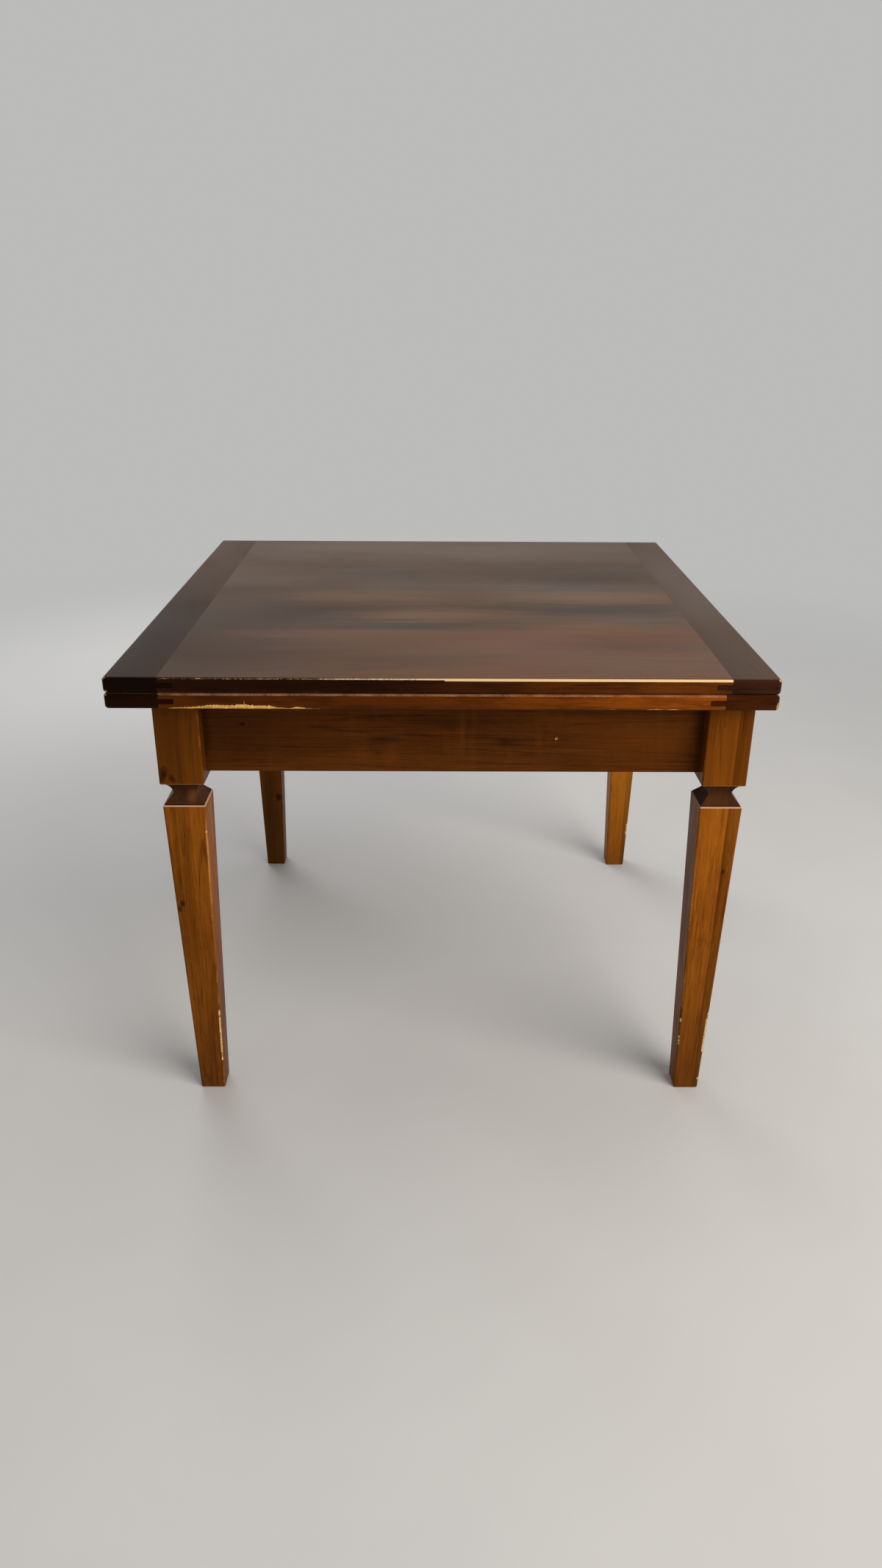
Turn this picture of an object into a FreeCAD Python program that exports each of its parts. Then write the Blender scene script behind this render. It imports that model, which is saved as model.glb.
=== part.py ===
import FreeCAD, Part
import math
import os
import re
import Sketcher

# A square dining table whose top is two stacked leaves, hinged along one edge. The top slides
# sideways on the frame, then the upper leaf turns over and doubles the length.
# X runs along the opening, Y from front to back, Z up. The origin is on the floor under the
# middle of the whole table, drawn with the top pulled a little way off the middle of the frame.

sizes = {
    # The whole table, how far the top stands out over the legs, and how far it is pulled aside
    "table_height": 790,
    "top_length": 1000,
    "top_depth": 1000,
    "overhang": 40,
    "rest_pull": 18,
    # Leaves: a panel between two battens
    "leaf_thickness": 24,
    "leaf_gap": 1,
    "leaf_arris": 5,
    "leaf_corner": 6,
    "batten_width": 80,
    "upper_right_batten_width": 73,
    "tongue_length": 22,
    "tongue_thickness": 8,
    "tongue_end_gap": 0.5,
    "leaf_pad_radius": 6,
    "leaf_pad_thickness": 0.7,
    "leaf_pad_inset": 45,
    # Legs: a block, then a cove, a neck and a flare down to the quirk above the shoulder
    "leg_width": 70,
    "leg_arris": 2.5,
    "block_length": 138.7,
    "block_arris": 2,
    "cove_height": 17,
    "cove_inset": 4.5,
    "cove_radius": 30,
    "neck_width": 37,
    "neck_height": 3,
    "flare_height": 15.5,
    "flare_inset": 3.6,
    "quirk_height": 1.5,
    "shoulder_width": 67.5,
    "shoulder_arris": 1.2,
    "foot_width": 42.5,
    "foot_chamfer": 1.5,
    # Aprons and their tenons
    "apron_thickness": 22,
    "apron_height": 126,
    "apron_recess": 27,
    "apron_arris": 1.5,
    "tenon_length": 26,
    "tenon_thickness": 8,
    "tenon_shoulder": 18,
    "tenon_end_gap": 0.6,
    "housing_depth": 6,
    # Felt that the leaf slides on
    "felt_thickness": 1.5,
    "felt_clearance": 0.3,
    "felt_width": 16,
    "felt_end_margin": 10,
    # Guide rails, their stops and the runners in them
    "rail_thickness": 28,
    "rail_height": 36,
    "rail_drop": 2,
    "groove_height": 12,
    "groove_depth": 12,
    "groove_cover": 12,
    "stop_length": 10,
    "runner_width": 26,
    "runner_height": 36,
    "runner_gap": 1,
    "tongue_play": 0.3,
    # Cross rail
    "cross_thickness": 32,
    "cross_height": 84,
    "cross_play": 2,
    # Corner blocks
    "corner_gap": 4,
    "corner_block_thickness": 28,
    "corner_block_height": 64,
    "corner_block_drop": 9.2,
    # Bolts and screws
    "bolt_radius": 3,
    "bolt_reach": 30,
    "bolt_end": 4,
    "nut_width": 10,
    "nut_sides": 4,
    "nut_thickness": 5,
    "washer_radius": 8,
    "washer_thickness": 1.5,
    "screw_radius": 2,
    "screw_head_radius": 4,
    "screw_head_height": 2.4,
    "screw_bite": 15,
    # Sides that shanks, washers and felt dots are drawn with
    "small_sides": 8,
    "runner_screw_recess": 12,
    "block_screw_grip": 14,
    # Hinges
    "hinge_inset": 120,
    "hinge_length": 70,
    "hinge_height": 17,
    "hinge_plate_thickness": 2,
    "hinge_offset": 0.3,
    "knuckle_radius": 3,
    "knuckle_count": 3,
    "knuckle_play": 0.15,
    "barrel_clearance": 0.3,
    "pin_radius": 1.5,
    "pin_clearance": 0.05,
    "hinge_screw_radius": 1.5,
    "hinge_screw_head_radius": 3,
    "hinge_screw_head_height": 1.5,
    "hinge_screw_length": 18,
    "hinge_screw_drop": 10,
    # One overrun for every cut that has to leave the wood
    "overrun": 5,
}

# Places and sizes that follow from the ones above
worked_out = {
    "leaf_bottom": "table_height - 2 * leaf_thickness - leaf_gap",
    "upper_leaf_bottom": "table_height - leaf_thickness",
    "hinge_axis_height": "table_height - leaf_thickness - leaf_gap / 2",
    "top_centre": "-(hinge_offset + knuckle_radius) / 2",
    "top_right_edge": "top_centre + top_length / 2",
    "hinge_axis_x": "top_right_edge + hinge_offset",
    "slide_travel": "top_length / 2",
    "frame_centre": "top_centre + rest_pull",
    "frame_length": "top_length - 2 * overhang",
    "frame_depth": "top_depth - 2 * overhang",
    "frame_top": "leaf_bottom - felt_thickness - felt_clearance",
    "apron_bottom": "frame_top - apron_height",
    "apron_inner_y": "frame_depth / 2 - apron_recess - apron_thickness",
    "apron_length_x": "frame_length - 2 * leg_width",
    "apron_length_y": "frame_depth - 2 * leg_width",
    "tenon_bottom": "apron_bottom + tenon_shoulder",
    "tenon_top": "frame_top - tenon_shoulder",
    "block_bottom": "frame_top - block_length",
    "neck_top": "block_bottom - cove_height",
    "neck_foot": "neck_top - neck_height",
    "flare_foot": "neck_foot - flare_height",
    "shoulder_height": "flare_foot - quirk_height",
    "rail_top": "frame_top - rail_drop",
    "rail_bottom": "rail_top - rail_height",
    "groove_top": "rail_top - groove_cover",
    "rail_face_y": "apron_inner_y - rail_thickness",
    "runner_length": "apron_length_x - 2 * stop_length - slide_travel - 2 * tongue_play",
    "runner_centre": "top_centre + slide_travel / 2",
    "runner_inner_y": "rail_face_y - runner_gap - runner_width",
    "cross_lug_top": "rail_bottom - tongue_play",
    "cross_bottom": "frame_top - cross_height",
    "cross_seat_y": "runner_inner_y - cross_play",
    "corner_block_back": "corner_gap + corner_block_thickness",
    "corner_block_bottom": "rail_bottom - corner_block_drop - corner_block_height",
    "hinge_spread": "top_depth / 2 - hinge_inset",
}


def spelled_out(formula):
    """Replace each worked-out name in a formula by its own formula."""
    def swap(word):
        name = word.group(0)
        return "(" + spelled_out(worked_out[name]) + ")" if name in worked_out else name
    return re.sub(r"[a-z_]+", swap, formula)


def expression(formula):
    """The formula as an expression on the spreadsheet's cells."""
    return re.sub(r"[a-z_]+", lambda word: "Sizes." + word.group(0) if word.group(0) in sizes
                  else word.group(0), spelled_out(formula))


document = FreeCAD.newDocument("FlipTopTable")
sheet = document.addObject("Spreadsheet::Sheet", "Sizes")
for row, (alias, number) in enumerate(sizes.items(), start=1):
    sheet.set("A%d" % row, alias)
    sheet.set("B%d" % row, str(number))
    sheet.setAlias("B%d" % row, alias)
document.recompute()


def value(formula):
    """The formula's value now, from the spreadsheet, in millimetres."""
    numbers = re.sub(r"[a-z_]+", lambda word: "(%s)" % sheet.get(word.group(0))
                     if word.group(0) in sizes else word.group(0), spelled_out(formula))
    return FreeCAD.Units.Quantity(numbers).Value


subparts = []

UP = FreeCAD.Vector(0, 0, 1)
DOWN = FreeCAD.Vector(0, 0, -1)
RIGHT = FreeCAD.Vector(1, 0, 0)
LEFT = FreeCAD.Vector(-1, 0, 0)
BACK = FreeCAD.Vector(0, 1, 0)
FRONT = FreeCAD.Vector(0, -1, 0)

# How near two places have to be to count as one, and how much of an edge's length has to lie
# along an axis for the edge to run along it
SAME_PLACE = 0.001
ALONG_SHARE = 0.9


def bind(thing, formulas):
    """Tie properties of a thing to the spreadsheet."""
    for path, formula in formulas.items():
        thing.setExpression(path, expression(formula))


def stand(thing, x="0", y="0", z="0", facing=None):
    """Place a thing. One that is drawn facing the front can be turned to face another way."""
    if facing:
        thing.Placement.Rotation = FreeCAD.Rotation(UP.cross(facing), -facing, UP, "ZXY")
    bind(thing, {"Placement.Base.x": x, "Placement.Base.y": y, "Placement.Base.z": z})
    return thing


def finished(thing, label):
    """Give a finished sub-part its name and keep it for the export."""
    thing.Label = label
    subparts.append(thing)
    return thing


def wire(sketch, points, arcs):
    """Draw a closed line through points given as pairs of formulas, and fix every point by them.
    A side named in arcs, by the number of the point it starts from, is an arc of that radius
    that bends to the side's left."""
    places = [FreeCAD.Vector(value(x), value(y), 0) for x, y in points]
    starts, ends = [], []
    for number, start in enumerate(places):
        end = places[(number + 1) % len(places)]
        curve = Part.LineSegment(start, end)
        if number in arcs:
            radius = value(arcs[number])
            chord = end - start
            left = FreeCAD.Vector(-chord.y, chord.x, 0).normalize()
            rise = radius - math.sqrt(radius ** 2 - (chord.Length / 2) ** 2)
            curve = Part.Arc(start, (start + end) / 2 + left * rise, end)
        index = sketch.addGeometry(curve, False)
        forwards = (sketch.getPoint(index, 1).distanceToPoint(start)
                    < sketch.getPoint(index, 2).distanceToPoint(start))
        starts.append((index, 1 if forwards else 2))
        ends.append((index, 2 if forwards else 1))
        if number in arcs:
            tie = sketch.addConstraint(Sketcher.Constraint("Radius", index, radius))
            bind(sketch, {"Constraints[%d]" % tie: arcs[number]})
    for number, (x, y) in enumerate(points):
        here = starts[number]
        sketch.addConstraint(Sketcher.Constraint("Coincident", *ends[number - 1], *here))
        for kind, axis, formula in (("DistanceX", -2, x), ("DistanceY", -1, y)):
            distance = value(formula)
            if distance == 0:
                sketch.addConstraint(Sketcher.Constraint("PointOnObject", *here, axis))
                continue
            ends_of_tie = (-1, 1, *here) if distance > 0 else (*here, -1, 1)
            tie = sketch.addConstraint(Sketcher.Constraint(kind, *ends_of_tie, abs(distance)))
            bind(sketch, {"Constraints[%d]" % tie: formula if distance > 0 else "-(%s)" % formula})


def outline(body, name, plane, *wires, arcs=None, offset=None):
    """A sketch of one or more closed lines on one of the body's own planes. The arcs are those of
    the last line."""
    sketch = body.newObject("Sketcher::SketchObject", name)
    base = next(part for part in body.Origin.OriginFeatures if part.Role == plane)
    sketch.AttachmentSupport = (base, [""])
    sketch.MapMode = "FlatFace"
    if offset:
        bind(sketch, {"AttachmentOffset.Base.z": offset})
    for points in wires[:-1]:
        wire(sketch, points, {})
    wire(sketch, wires[-1], arcs or {})
    return sketch


def rectangle(left, right, low, high):
    """The four corners between four formulas."""
    return [(left, low), (right, low), (right, high), (left, high)]


def centred(width, depth):
    """The four corners of a rectangle about the middle."""
    return rectangle("-(%s) / 2" % width, "(%s) / 2" % width,
                     "-(%s) / 2" % depth, "(%s) / 2" % depth)


def feature(body, kind, name, profile, length, both_ways=False, backwards=False):
    """A pad or pocket of a sketch."""
    made = body.newObject("PartDesign::" + kind, name)
    made.Profile = profile
    made.SideType = "Symmetric" if both_ways else "One side"
    made.Reversed = backwards
    bind(made, {"Length": length})
    document.recompute()
    return made


def dress(body, kind, name, size, chosen):
    """A fillet or chamfer on those edges of the body so far for which chosen(edge) is true."""
    base = body.Tip
    made = body.newObject("PartDesign::" + kind, name)
    made.Base = (base, ["Edge%d" % number for number, edge in enumerate(base.Shape.Edges, start=1)
                        if chosen(edge)])
    bind(made, {"Radius" if kind == "Fillet" else "Size": size})
    document.recompute()
    return made


def runs_along(edge, axis):
    """True for an edge that runs mostly along one of the axes, given as 0, 1 or 2."""
    reach = edge.Vertexes[0].Point - edge.Vertexes[-1].Point
    return abs(reach[axis]) > edge.Length * ALONG_SHARE


def level_at(edge, height):
    """True for an edge that lies level at a height."""
    bounds = edge.BoundBox
    return max(abs(bounds.ZMin - height), abs(bounds.ZMax - height)) < SAME_PLACE


def outer(edge, reach):
    """True for an edge that goes as far out from the upright axis, along X or Y, as a formula."""
    bounds = edge.BoundBox
    farthest = max(-bounds.XMin, bounds.XMax, -bounds.YMin, bounds.YMax)
    return farthest > value(reach) - SAME_PLACE


def box(length, width, height, x, y, z, name="Stock"):
    """A box whose lowest corner is at x, y, z."""
    made = document.addObject("Part::Box", name)
    bind(made, {"Length": length, "Width": width, "Height": height})
    return stand(made, x, y, z)


def rod(radius, length, x, y, z, along, name="Rod"):
    """A cylinder from x, y, z in the direction along."""
    made = document.addObject("Part::Cylinder", name)
    made.Placement.Rotation = FreeCAD.Rotation(UP, along)
    bind(made, {"Radius": radius, "Height": length})
    return stand(made, x, y, z)


def shank(radius, length, x, y, z, along, sides="small_sides", name="Shank"):
    """A flat-sided bar from x, y, z in the direction along, its corners at the radius."""
    made = document.addObject("Part::Prism", name)
    made.Placement.Rotation = FreeCAD.Rotation(UP, along)
    bind(made, {"Circumradius": radius, "Height": length, "Polygon": sides})
    return stand(made, x, y, z)


def joined(parts, name="Joined"):
    """Several things as one object; those that don't touch stay separate solids in it."""
    made = document.addObject("Part::MultiFuse", name)
    made.Shapes = parts
    return made


def cut(base, tool, name="Cut"):
    """The base with the tool's space taken out."""
    made = document.addObject("Part::Cut", name)
    made.Base = base
    made.Tool = tool
    return made


def screw(x, y, z, along, length, radius="screw_radius", head_radius="screw_head_radius",
          head_height="screw_head_height"):
    """A countersunk screw that goes in at x, y, z, with a few flat sides in place of its thread."""
    sides = range(int(value("small_sides")))
    rings = [[FreeCAD.Vector(value(size), 0, value(ahead)) for side in sides]
             for size, ahead in ((head_radius, "0"), (radius, head_height), (radius, length))]
    for ring in rings:
        for side in sides:
            ring[side] = FreeCAD.Rotation(UP, 360 / len(sides) * side).multVec(ring[side])
    flats = [rings[0][::-1], rings[-1]]
    for near, far in zip(rings, rings[1:]):
        flats += [[near[side - 1], near[side], far[side], far[side - 1]] for side in sides]
    faces = [Part.Face(Part.makePolygon(flat + flat[:1])) for flat in flats]
    made = document.addObject("Part::Feature", "Screw")
    made.Shape = Part.makeSolid(Part.makeShell(faces))
    made.Placement.Rotation = FreeCAD.Rotation(UP, along)
    return stand(made, x, y, z)


# The corners and sides of the frame: name, the way to it from the middle where that differs, and
# the way a piece faces there that was drawn for the front left corner or for the front
corners = [
    ("front_left", FRONT + LEFT, FRONT),
    ("front_right", FRONT + RIGHT, RIGHT),
    ("back_right", BACK + RIGHT, BACK),
    ("back_left", BACK + LEFT, LEFT),
]
long_sides = [("front", FRONT), ("back", BACK)]
short_sides = [("left", LEFT), ("right", RIGHT)]


def at_corner(thing, way, facing):
    """Stand a thing that was drawn about the middle of the front left leg at some corner."""
    return stand(thing, "frame_centre + %d * (frame_length - leg_width) / 2" % way.x,
                 "%d * (frame_depth - leg_width) / 2" % way.y, "0", facing)


# Corner bolts: a bolt from the inner corner of each leg through the corner block, with a washer
# and a square nut behind it
def corner_bolt(way, facing):
    """One bolt with its washer and nut, drawn about the middle of the front left leg."""
    diagonal = RIGHT + BACK
    near = "(leg_width / sqrt(2) - bolt_reach) / sqrt(2)"
    seat = "(leg_width / sqrt(2) + corner_block_back) / sqrt(2)"
    outside = "(leg_width / sqrt(2) + corner_block_back + washer_thickness) / sqrt(2)"
    height = "corner_block_bottom + corner_block_height / 2"
    length = ("bolt_reach + corner_block_back + washer_thickness + nut_thickness + bolt_end")
    bolt = shank("bolt_radius", length, near, near, height, diagonal, name="Bolt")
    washer = shank("washer_radius", "washer_thickness", seat, seat, height, diagonal,
                   name="Washer")
    nut = shank("nut_width / sqrt(2)", "nut_thickness", outside, outside, height, diagonal,
                "nut_sides", "Nut")
    return at_corner(joined([bolt, washer, nut], "CornerBolt"), way, facing)


# Corner blocks: a length of hardwood across each corner, its ends glued and screwed to the aprons
apron_line = "apron_recess + apron_thickness - leg_width / 2"
block_near = "leg_width + corner_gap * sqrt(2) - (%s)" % apron_line
block_far = "leg_width + corner_block_back * sqrt(2) - (%s)" % apron_line


def corner_block(way, facing):
    """One corner block, drawn about the middle of the front left leg."""
    body = document.addObject("PartDesign::Body", "CornerBlock")
    plan = outline(body, "Plan", "XY_Plane", [
        (block_near, apron_line), (block_far, apron_line),
        (apron_line, block_far), (apron_line, block_near)], offset="corner_block_bottom")
    feature(body, "Pad", "Block", plan, "corner_block_height")
    return at_corner(body, way, facing)


def corner_block_screws(way, facing):
    """The two screws of a corner block, and the wider holes that let their heads in."""
    along = "(%s + %s) / 2" % (block_near, block_far)
    top = "%s + block_screw_grip" % apron_line
    height = "corner_block_bottom + corner_block_height / 2"
    length = "block_screw_grip + screw_bite"
    screws = [screw(along, top, height, FRONT, length), screw(top, along, height, LEFT, length)]
    wide = [shank("screw_head_radius", "corner_block_thickness", along, top, height, BACK),
            shank("screw_head_radius", "corner_block_thickness", top, along, height, RIGHT)]
    return [at_corner(joined(group, "BlockScrews"), way, facing) for group in (screws, wide)]


bolts = joined([corner_bolt(way, facing) for name, way, facing in corners], "CornerBolts")
pairs = [corner_block_screws(way, facing) for name, way, facing in corners]
block_screws = joined([pair[0] for pair in pairs], "BlockScrewsAll")
block_screw_recesses = joined([pair[1] for pair in pairs], "BlockScrewRecesses")
finished(bolts, "corner_bolts")
finished(block_screws, "corner_block_screws")
block_holes = joined([bolts, block_screws, block_screw_recesses], "BlockHoles")
for name, way, facing in corners:
    finished(cut(corner_block(way, facing), block_holes), "corner_block_" + name)


# Legs: glued-up square stock. The neck is sawn to a pattern, first through one pair of faces and
# then through the other, so that its corners are mitred; the part below it tapers on all four
# sides to the foot.
neck_side = [
    ("leg_width / 2 - flare_inset", "shoulder_height"),
    ("leg_width / 2 - flare_inset", "flare_foot"),
    ("neck_width / 2", "neck_foot"),
    ("neck_width / 2", "neck_top"),
    ("leg_width / 2 - cove_inset", "block_bottom"),
]
neck = neck_side + [("-(%s)" % x, height) for x, height in reversed(neck_side)]
neck_coves = {3: "cove_radius", 5: "cove_radius"}
waste_edge = rectangle("-(leg_width / 2 + overrun)", "leg_width / 2 + overrun",
                       "shoulder_height - overrun", "block_bottom + overrun")


def leg(way, facing):
    """One leg, drawn about its own middle with its mortises in the faces towards +X and +Y."""
    body = document.addObject("PartDesign::Body", "Leg")
    front = outline(body, "NeckPattern", "XZ_Plane", neck, arcs=neck_coves)
    feature(body, "Pad", "NeckStock", front, "leg_width", both_ways=True)
    side = outline(body, "NeckWaste", "YZ_Plane", waste_edge, neck, arcs=neck_coves)
    feature(body, "Pocket", "NeckCut", side, "leg_width + overrun", both_ways=True)
    square = outline(body, "BlockSquare", "XY_Plane", centred("leg_width", "leg_width"),
                     offset="block_bottom")
    feature(body, "Pad", "Block", square, "frame_top - block_bottom")
    taper = body.newObject("PartDesign::AdditiveWedge", "Taper")
    taper.Placement.Rotation = FreeCAD.Rotation(BACK, UP)
    bind(taper, {"Ymin": "0", "Ymax": "shoulder_height",
                 "Xmin": "-foot_width / 2", "Xmax": "foot_width / 2",
                 "Zmin": "-foot_width / 2", "Zmax": "foot_width / 2",
                 "X2min": "-shoulder_width / 2", "X2max": "shoulder_width / 2",
                 "Z2min": "-shoulder_width / 2", "Z2max": "shoulder_width / 2"})
    document.recompute()
    dress(body, "Fillet", "Arrises", "leg_arris",
          lambda edge: runs_along(edge, 2) and outer(edge, "shoulder_width / 2"))
    dress(body, "Chamfer", "BlockArris", "block_arris",
          lambda edge: level_at(edge, value("block_bottom")) and outer(edge, "leg_width / 2"))
    dress(body, "Chamfer", "ShoulderArris", "shoulder_arris",
          lambda edge: level_at(edge, value("shoulder_height"))
          and outer(edge, "shoulder_width / 2"))
    dress(body, "Chamfer", "FootChamfer", "foot_chamfer", lambda edge: level_at(edge, 0))
    middle = "apron_recess + apron_thickness / 2 - leg_width / 2"
    for name, plane in (("MortiseX", "YZ_Plane"), ("MortiseY", "XZ_Plane")):
        mouth = outline(body, name + "Mouth", plane, rectangle(
            "%s - tenon_thickness / 2" % middle, "%s + tenon_thickness / 2" % middle,
            "tenon_bottom", "tenon_top"),
            offset="leg_width / 2" if plane == "YZ_Plane" else "-leg_width / 2")
        feature(body, "Pocket", name, mouth, "tenon_length + tenon_end_gap",
                backwards=plane == "XZ_Plane")
    return at_corner(body, way, facing)


for name, way, facing in corners:
    finished(cut(leg(way, facing), bolts), "leg_" + name)


# Guide rails: a grooved hardwood rail on the inside of the front apron and of the back one, cut
# to fit between the legs, with a stop glued in each end of the groove. Runners: a tongued bar
# under the lower leaf in each rail, which also keeps the top from lifting. Both are drawn from
# the inner face of the front apron.
groove_bottom = "groove_top - groove_height"
groove_back = "rail_thickness - groove_depth"
rail_section = [
    ("0", "rail_bottom"), ("rail_thickness", "rail_bottom"),
    ("rail_thickness", groove_bottom), (groove_back, groove_bottom),
    (groove_back, "groove_top"), ("rail_thickness", "groove_top"),
    ("rail_thickness", "rail_top"), ("0", "rail_top"),
]
runner_near = "rail_thickness + runner_gap"
runner_far = "rail_thickness + runner_gap + runner_width"
runner_foot = "leaf_bottom - runner_height"
tongue_tip = "%s + tongue_play" % groove_back
runner_section = [
    (runner_near, runner_foot), (runner_far, runner_foot),
    (runner_far, "leaf_bottom"), (runner_near, "leaf_bottom"),
    (runner_near, "groove_top - tongue_play"), (tongue_tip, "groove_top - tongue_play"),
    (tongue_tip, "%s + tongue_play" % groove_bottom),
    (runner_near, "%s + tongue_play" % groove_bottom),
]
rail_screw_shares = [-0.42, -0.16, 0.16, 0.42]
runner_screw_shares = [-0.4, -0.14, 0.14, 0.4]


def bar(name, section, length, middle, facing):
    """A bar of one section along X, against the inner face of the front or back apron."""
    body = document.addObject("PartDesign::Body", name)
    profile = outline(body, name + "Section", "YZ_Plane", section)
    feature(body, "Pad", name + "Stock", profile, length, both_ways=True)
    return stand(body, middle, "%d * apron_inner_y" % facing.y, "0", facing)


rail_screws = finished(joined([
    screw("frame_centre + apron_length_x * %s" % share, "%d * rail_face_y" % facing.y,
          "(rail_bottom + %s) / 2" % groove_bottom, facing, "rail_thickness + screw_bite")
    for name, facing in long_sides for share in rail_screw_shares]), "guide_rail_screws")
rail_stops = finished(joined([
    box("stop_length", "groove_depth", "groove_height", "frame_centre + %s" % start,
        "%d * (rail_face_y + groove_depth / 2) - groove_depth / 2" % facing.y, groove_bottom,
        "Stop")
    for name, facing in long_sides
    for start in ("apron_length_x / 2 - stop_length", "-apron_length_x / 2")]), "rail_stops")
runner_middle_y = "(apron_inner_y - %s - runner_width / 2)" % runner_near
runner_screw_places = [("runner_centre + runner_length * %s" % share,
                        "%d * %s" % (facing.y, runner_middle_y))
                       for name, facing in long_sides for share in runner_screw_shares]
runner_screw_foot = "%s + runner_screw_recess" % runner_foot
runner_screws = finished(joined([
    screw(x, y, runner_screw_foot, UP, "runner_height - runner_screw_recess + screw_bite")
    for x, y in runner_screw_places]), "runner_screws")
runner_holes = joined([runner_screws] + [
    shank("screw_head_radius", "runner_screw_recess + overrun", x, y, runner_screw_foot, DOWN)
    for x, y in runner_screw_places])
for name, facing in long_sides:
    rail = bar("Rail", rail_section, "apron_length_x", "frame_centre", facing)
    finished(cut(rail, rail_screws), "guide_rail_" + name)
    runner = bar("Runner", runner_section, "runner_length", "runner_centre", facing)
    finished(cut(runner, runner_holes), "runner_" + name)


# Aprons: boards between the legs with a tenon on each end. The front and back ones are housed
# for the cross rail.
def apron(length, housed):
    """One apron, drawn about the middle of its length as the front one."""
    body = document.addObject("PartDesign::Body", "Apron")
    face = outline(body, "Face", "XZ_Plane", rectangle(
        "-(%s) / 2" % length, "(%s) / 2" % length, "apron_bottom", "frame_top"))
    feature(body, "Pad", "Board", face, "apron_thickness", both_ways=True)
    dress(body, "Fillet", "Arrises", "apron_arris",
          lambda edge: runs_along(edge, 0) and level_at(edge, value("apron_bottom")))
    end = outline(body, "TenonEnd", "YZ_Plane", rectangle(
        "-tenon_thickness / 2", "tenon_thickness / 2", "tenon_bottom", "tenon_top"))
    feature(body, "Pad", "Tenons", end, "%s + 2 * tenon_length" % length, both_ways=True)
    if housed:
        mouth = outline(body, "HousingMouth", "XZ_Plane", rectangle(
            "-cross_thickness / 2", "cross_thickness / 2", "cross_bottom", "cross_lug_top"),
            offset="-apron_thickness / 2")
        feature(body, "Pocket", "Housing", mouth, "housing_depth", backwards=True)
    return body


apron_holes = joined([rail_screws, block_screws])
apron_middle = "apron_recess + apron_thickness / 2"
for name, facing in long_sides:
    board = stand(apron("apron_length_x", True), "frame_centre",
                  "%d * (frame_depth / 2 - (%s))" % (facing.y, apron_middle), "0", facing)
    finished(cut(board, apron_holes), "apron_" + name)
for name, facing in short_sides:
    board = stand(apron("apron_length_y", False),
                  "frame_centre + %d * (frame_length / 2 - (%s))" % (facing.x, apron_middle),
                  "0", "0", facing)
    finished(cut(board, apron_holes), "apron_" + name)


# Cross rail: a board on edge under the hinge line of the open table, notched at both ends so that
# the runners pass over it
cross = document.addObject("PartDesign::Body", "CrossRail")
cross_end = "apron_inner_y + housing_depth"
profile = outline(cross, "CrossProfile", "YZ_Plane", [
    ("-(%s)" % cross_end, "cross_bottom"), (cross_end, "cross_bottom"),
    (cross_end, "cross_lug_top"), ("cross_seat_y", "cross_lug_top"),
    ("cross_seat_y", "frame_top"), ("-cross_seat_y", "frame_top"),
    ("-cross_seat_y", "cross_lug_top"), ("-(%s)" % cross_end, "cross_lug_top")])
feature(cross, "Pad", "CrossBoard", profile, "cross_thickness", both_ways=True)
finished(stand(cross, "frame_centre"), "cross_rail")

# Felt strips, glued along the side aprons and the cross rail, on which the leaf slides
side_felt = "apron_length_y - 2 * felt_end_margin"
side_reach = "frame_length / 2 - (%s)" % apron_middle
for name, length, middle in (
        ("felt_left", side_felt, "frame_centre - (%s)" % side_reach),
        ("felt_right", side_felt, "frame_centre + %s" % side_reach),
        ("felt_centre", "2 * (cross_seat_y - felt_end_margin)", "frame_centre")):
    finished(box("felt_width", length, "felt_thickness", "%s - felt_width / 2" % middle,
                 "-(%s) / 2" % length, "frame_top", "Felt"), name)


# Hinges: brass butts let into the right edge of both leaves, with the knuckles in the hollow
# between the leaves' rounded arrises. The pin is fast in the lower plate and runs in the upper.
hinge_places = [("front", "-hinge_spread"), ("middle", "0"), ("back", "hinge_spread")]
hinge_screw_shares = [-0.36, 0, 0.36]
lower_knuckles = range(0, int(value("knuckle_count")), 2)
upper_knuckles = range(1, int(value("knuckle_count")), 2)


def barrel(radius, length, middle):
    """A cylinder about the hinge axis."""
    return rod(radius, length, "hinge_axis_x", "%s - (%s) / 2" % (middle, length),
               "hinge_axis_height", BACK, "Barrel")


def hinge_plate(middle, level, others, bore, screws):
    """One plate with its knuckles, and room for the other plate's, which are given by number."""
    plate = box("hinge_plate_thickness", "hinge_length", "hinge_height",
                "top_right_edge - hinge_plate_thickness", "%s - hinge_length / 2" % middle, level)
    whole = joined([plate, barrel("knuckle_radius", "hinge_length", middle)])
    pitch = "hinge_length / knuckle_count"
    room = [barrel("knuckle_radius + barrel_clearance", "%s + 2 * knuckle_play" % pitch,
                   "%s + (%s) * (%d - (knuckle_count - 1) / 2)" % (middle, pitch, number))
            for number in others]
    return cut(whole, joined(room + [barrel(bore, "hinge_length + overrun", middle), screws]))


def hinge_screws(height):
    """The screws of the three plates on one leaf."""
    return joined([
        screw("top_right_edge", "%s + hinge_length * %s" % (middle, share), height, LEFT,
              "hinge_screw_length", "hinge_screw_radius", "hinge_screw_head_radius",
              "hinge_screw_head_height")
        for name, middle in hinge_places for share in hinge_screw_shares])


def hinge_sinkings(level, height, screws):
    """What is cut from a leaf's edge for its three plates, the barrels and the screws."""
    tools = [screws]
    for name, middle in hinge_places:
        tools.append(box("hinge_plate_thickness + overrun", "hinge_length", height,
                         "top_right_edge - hinge_plate_thickness",
                         "%s - hinge_length / 2" % middle, level, "Sinking"))
        tools.append(barrel("knuckle_radius + barrel_clearance",
                            "hinge_length + 2 * barrel_clearance", middle))
    return joined(tools)


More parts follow.
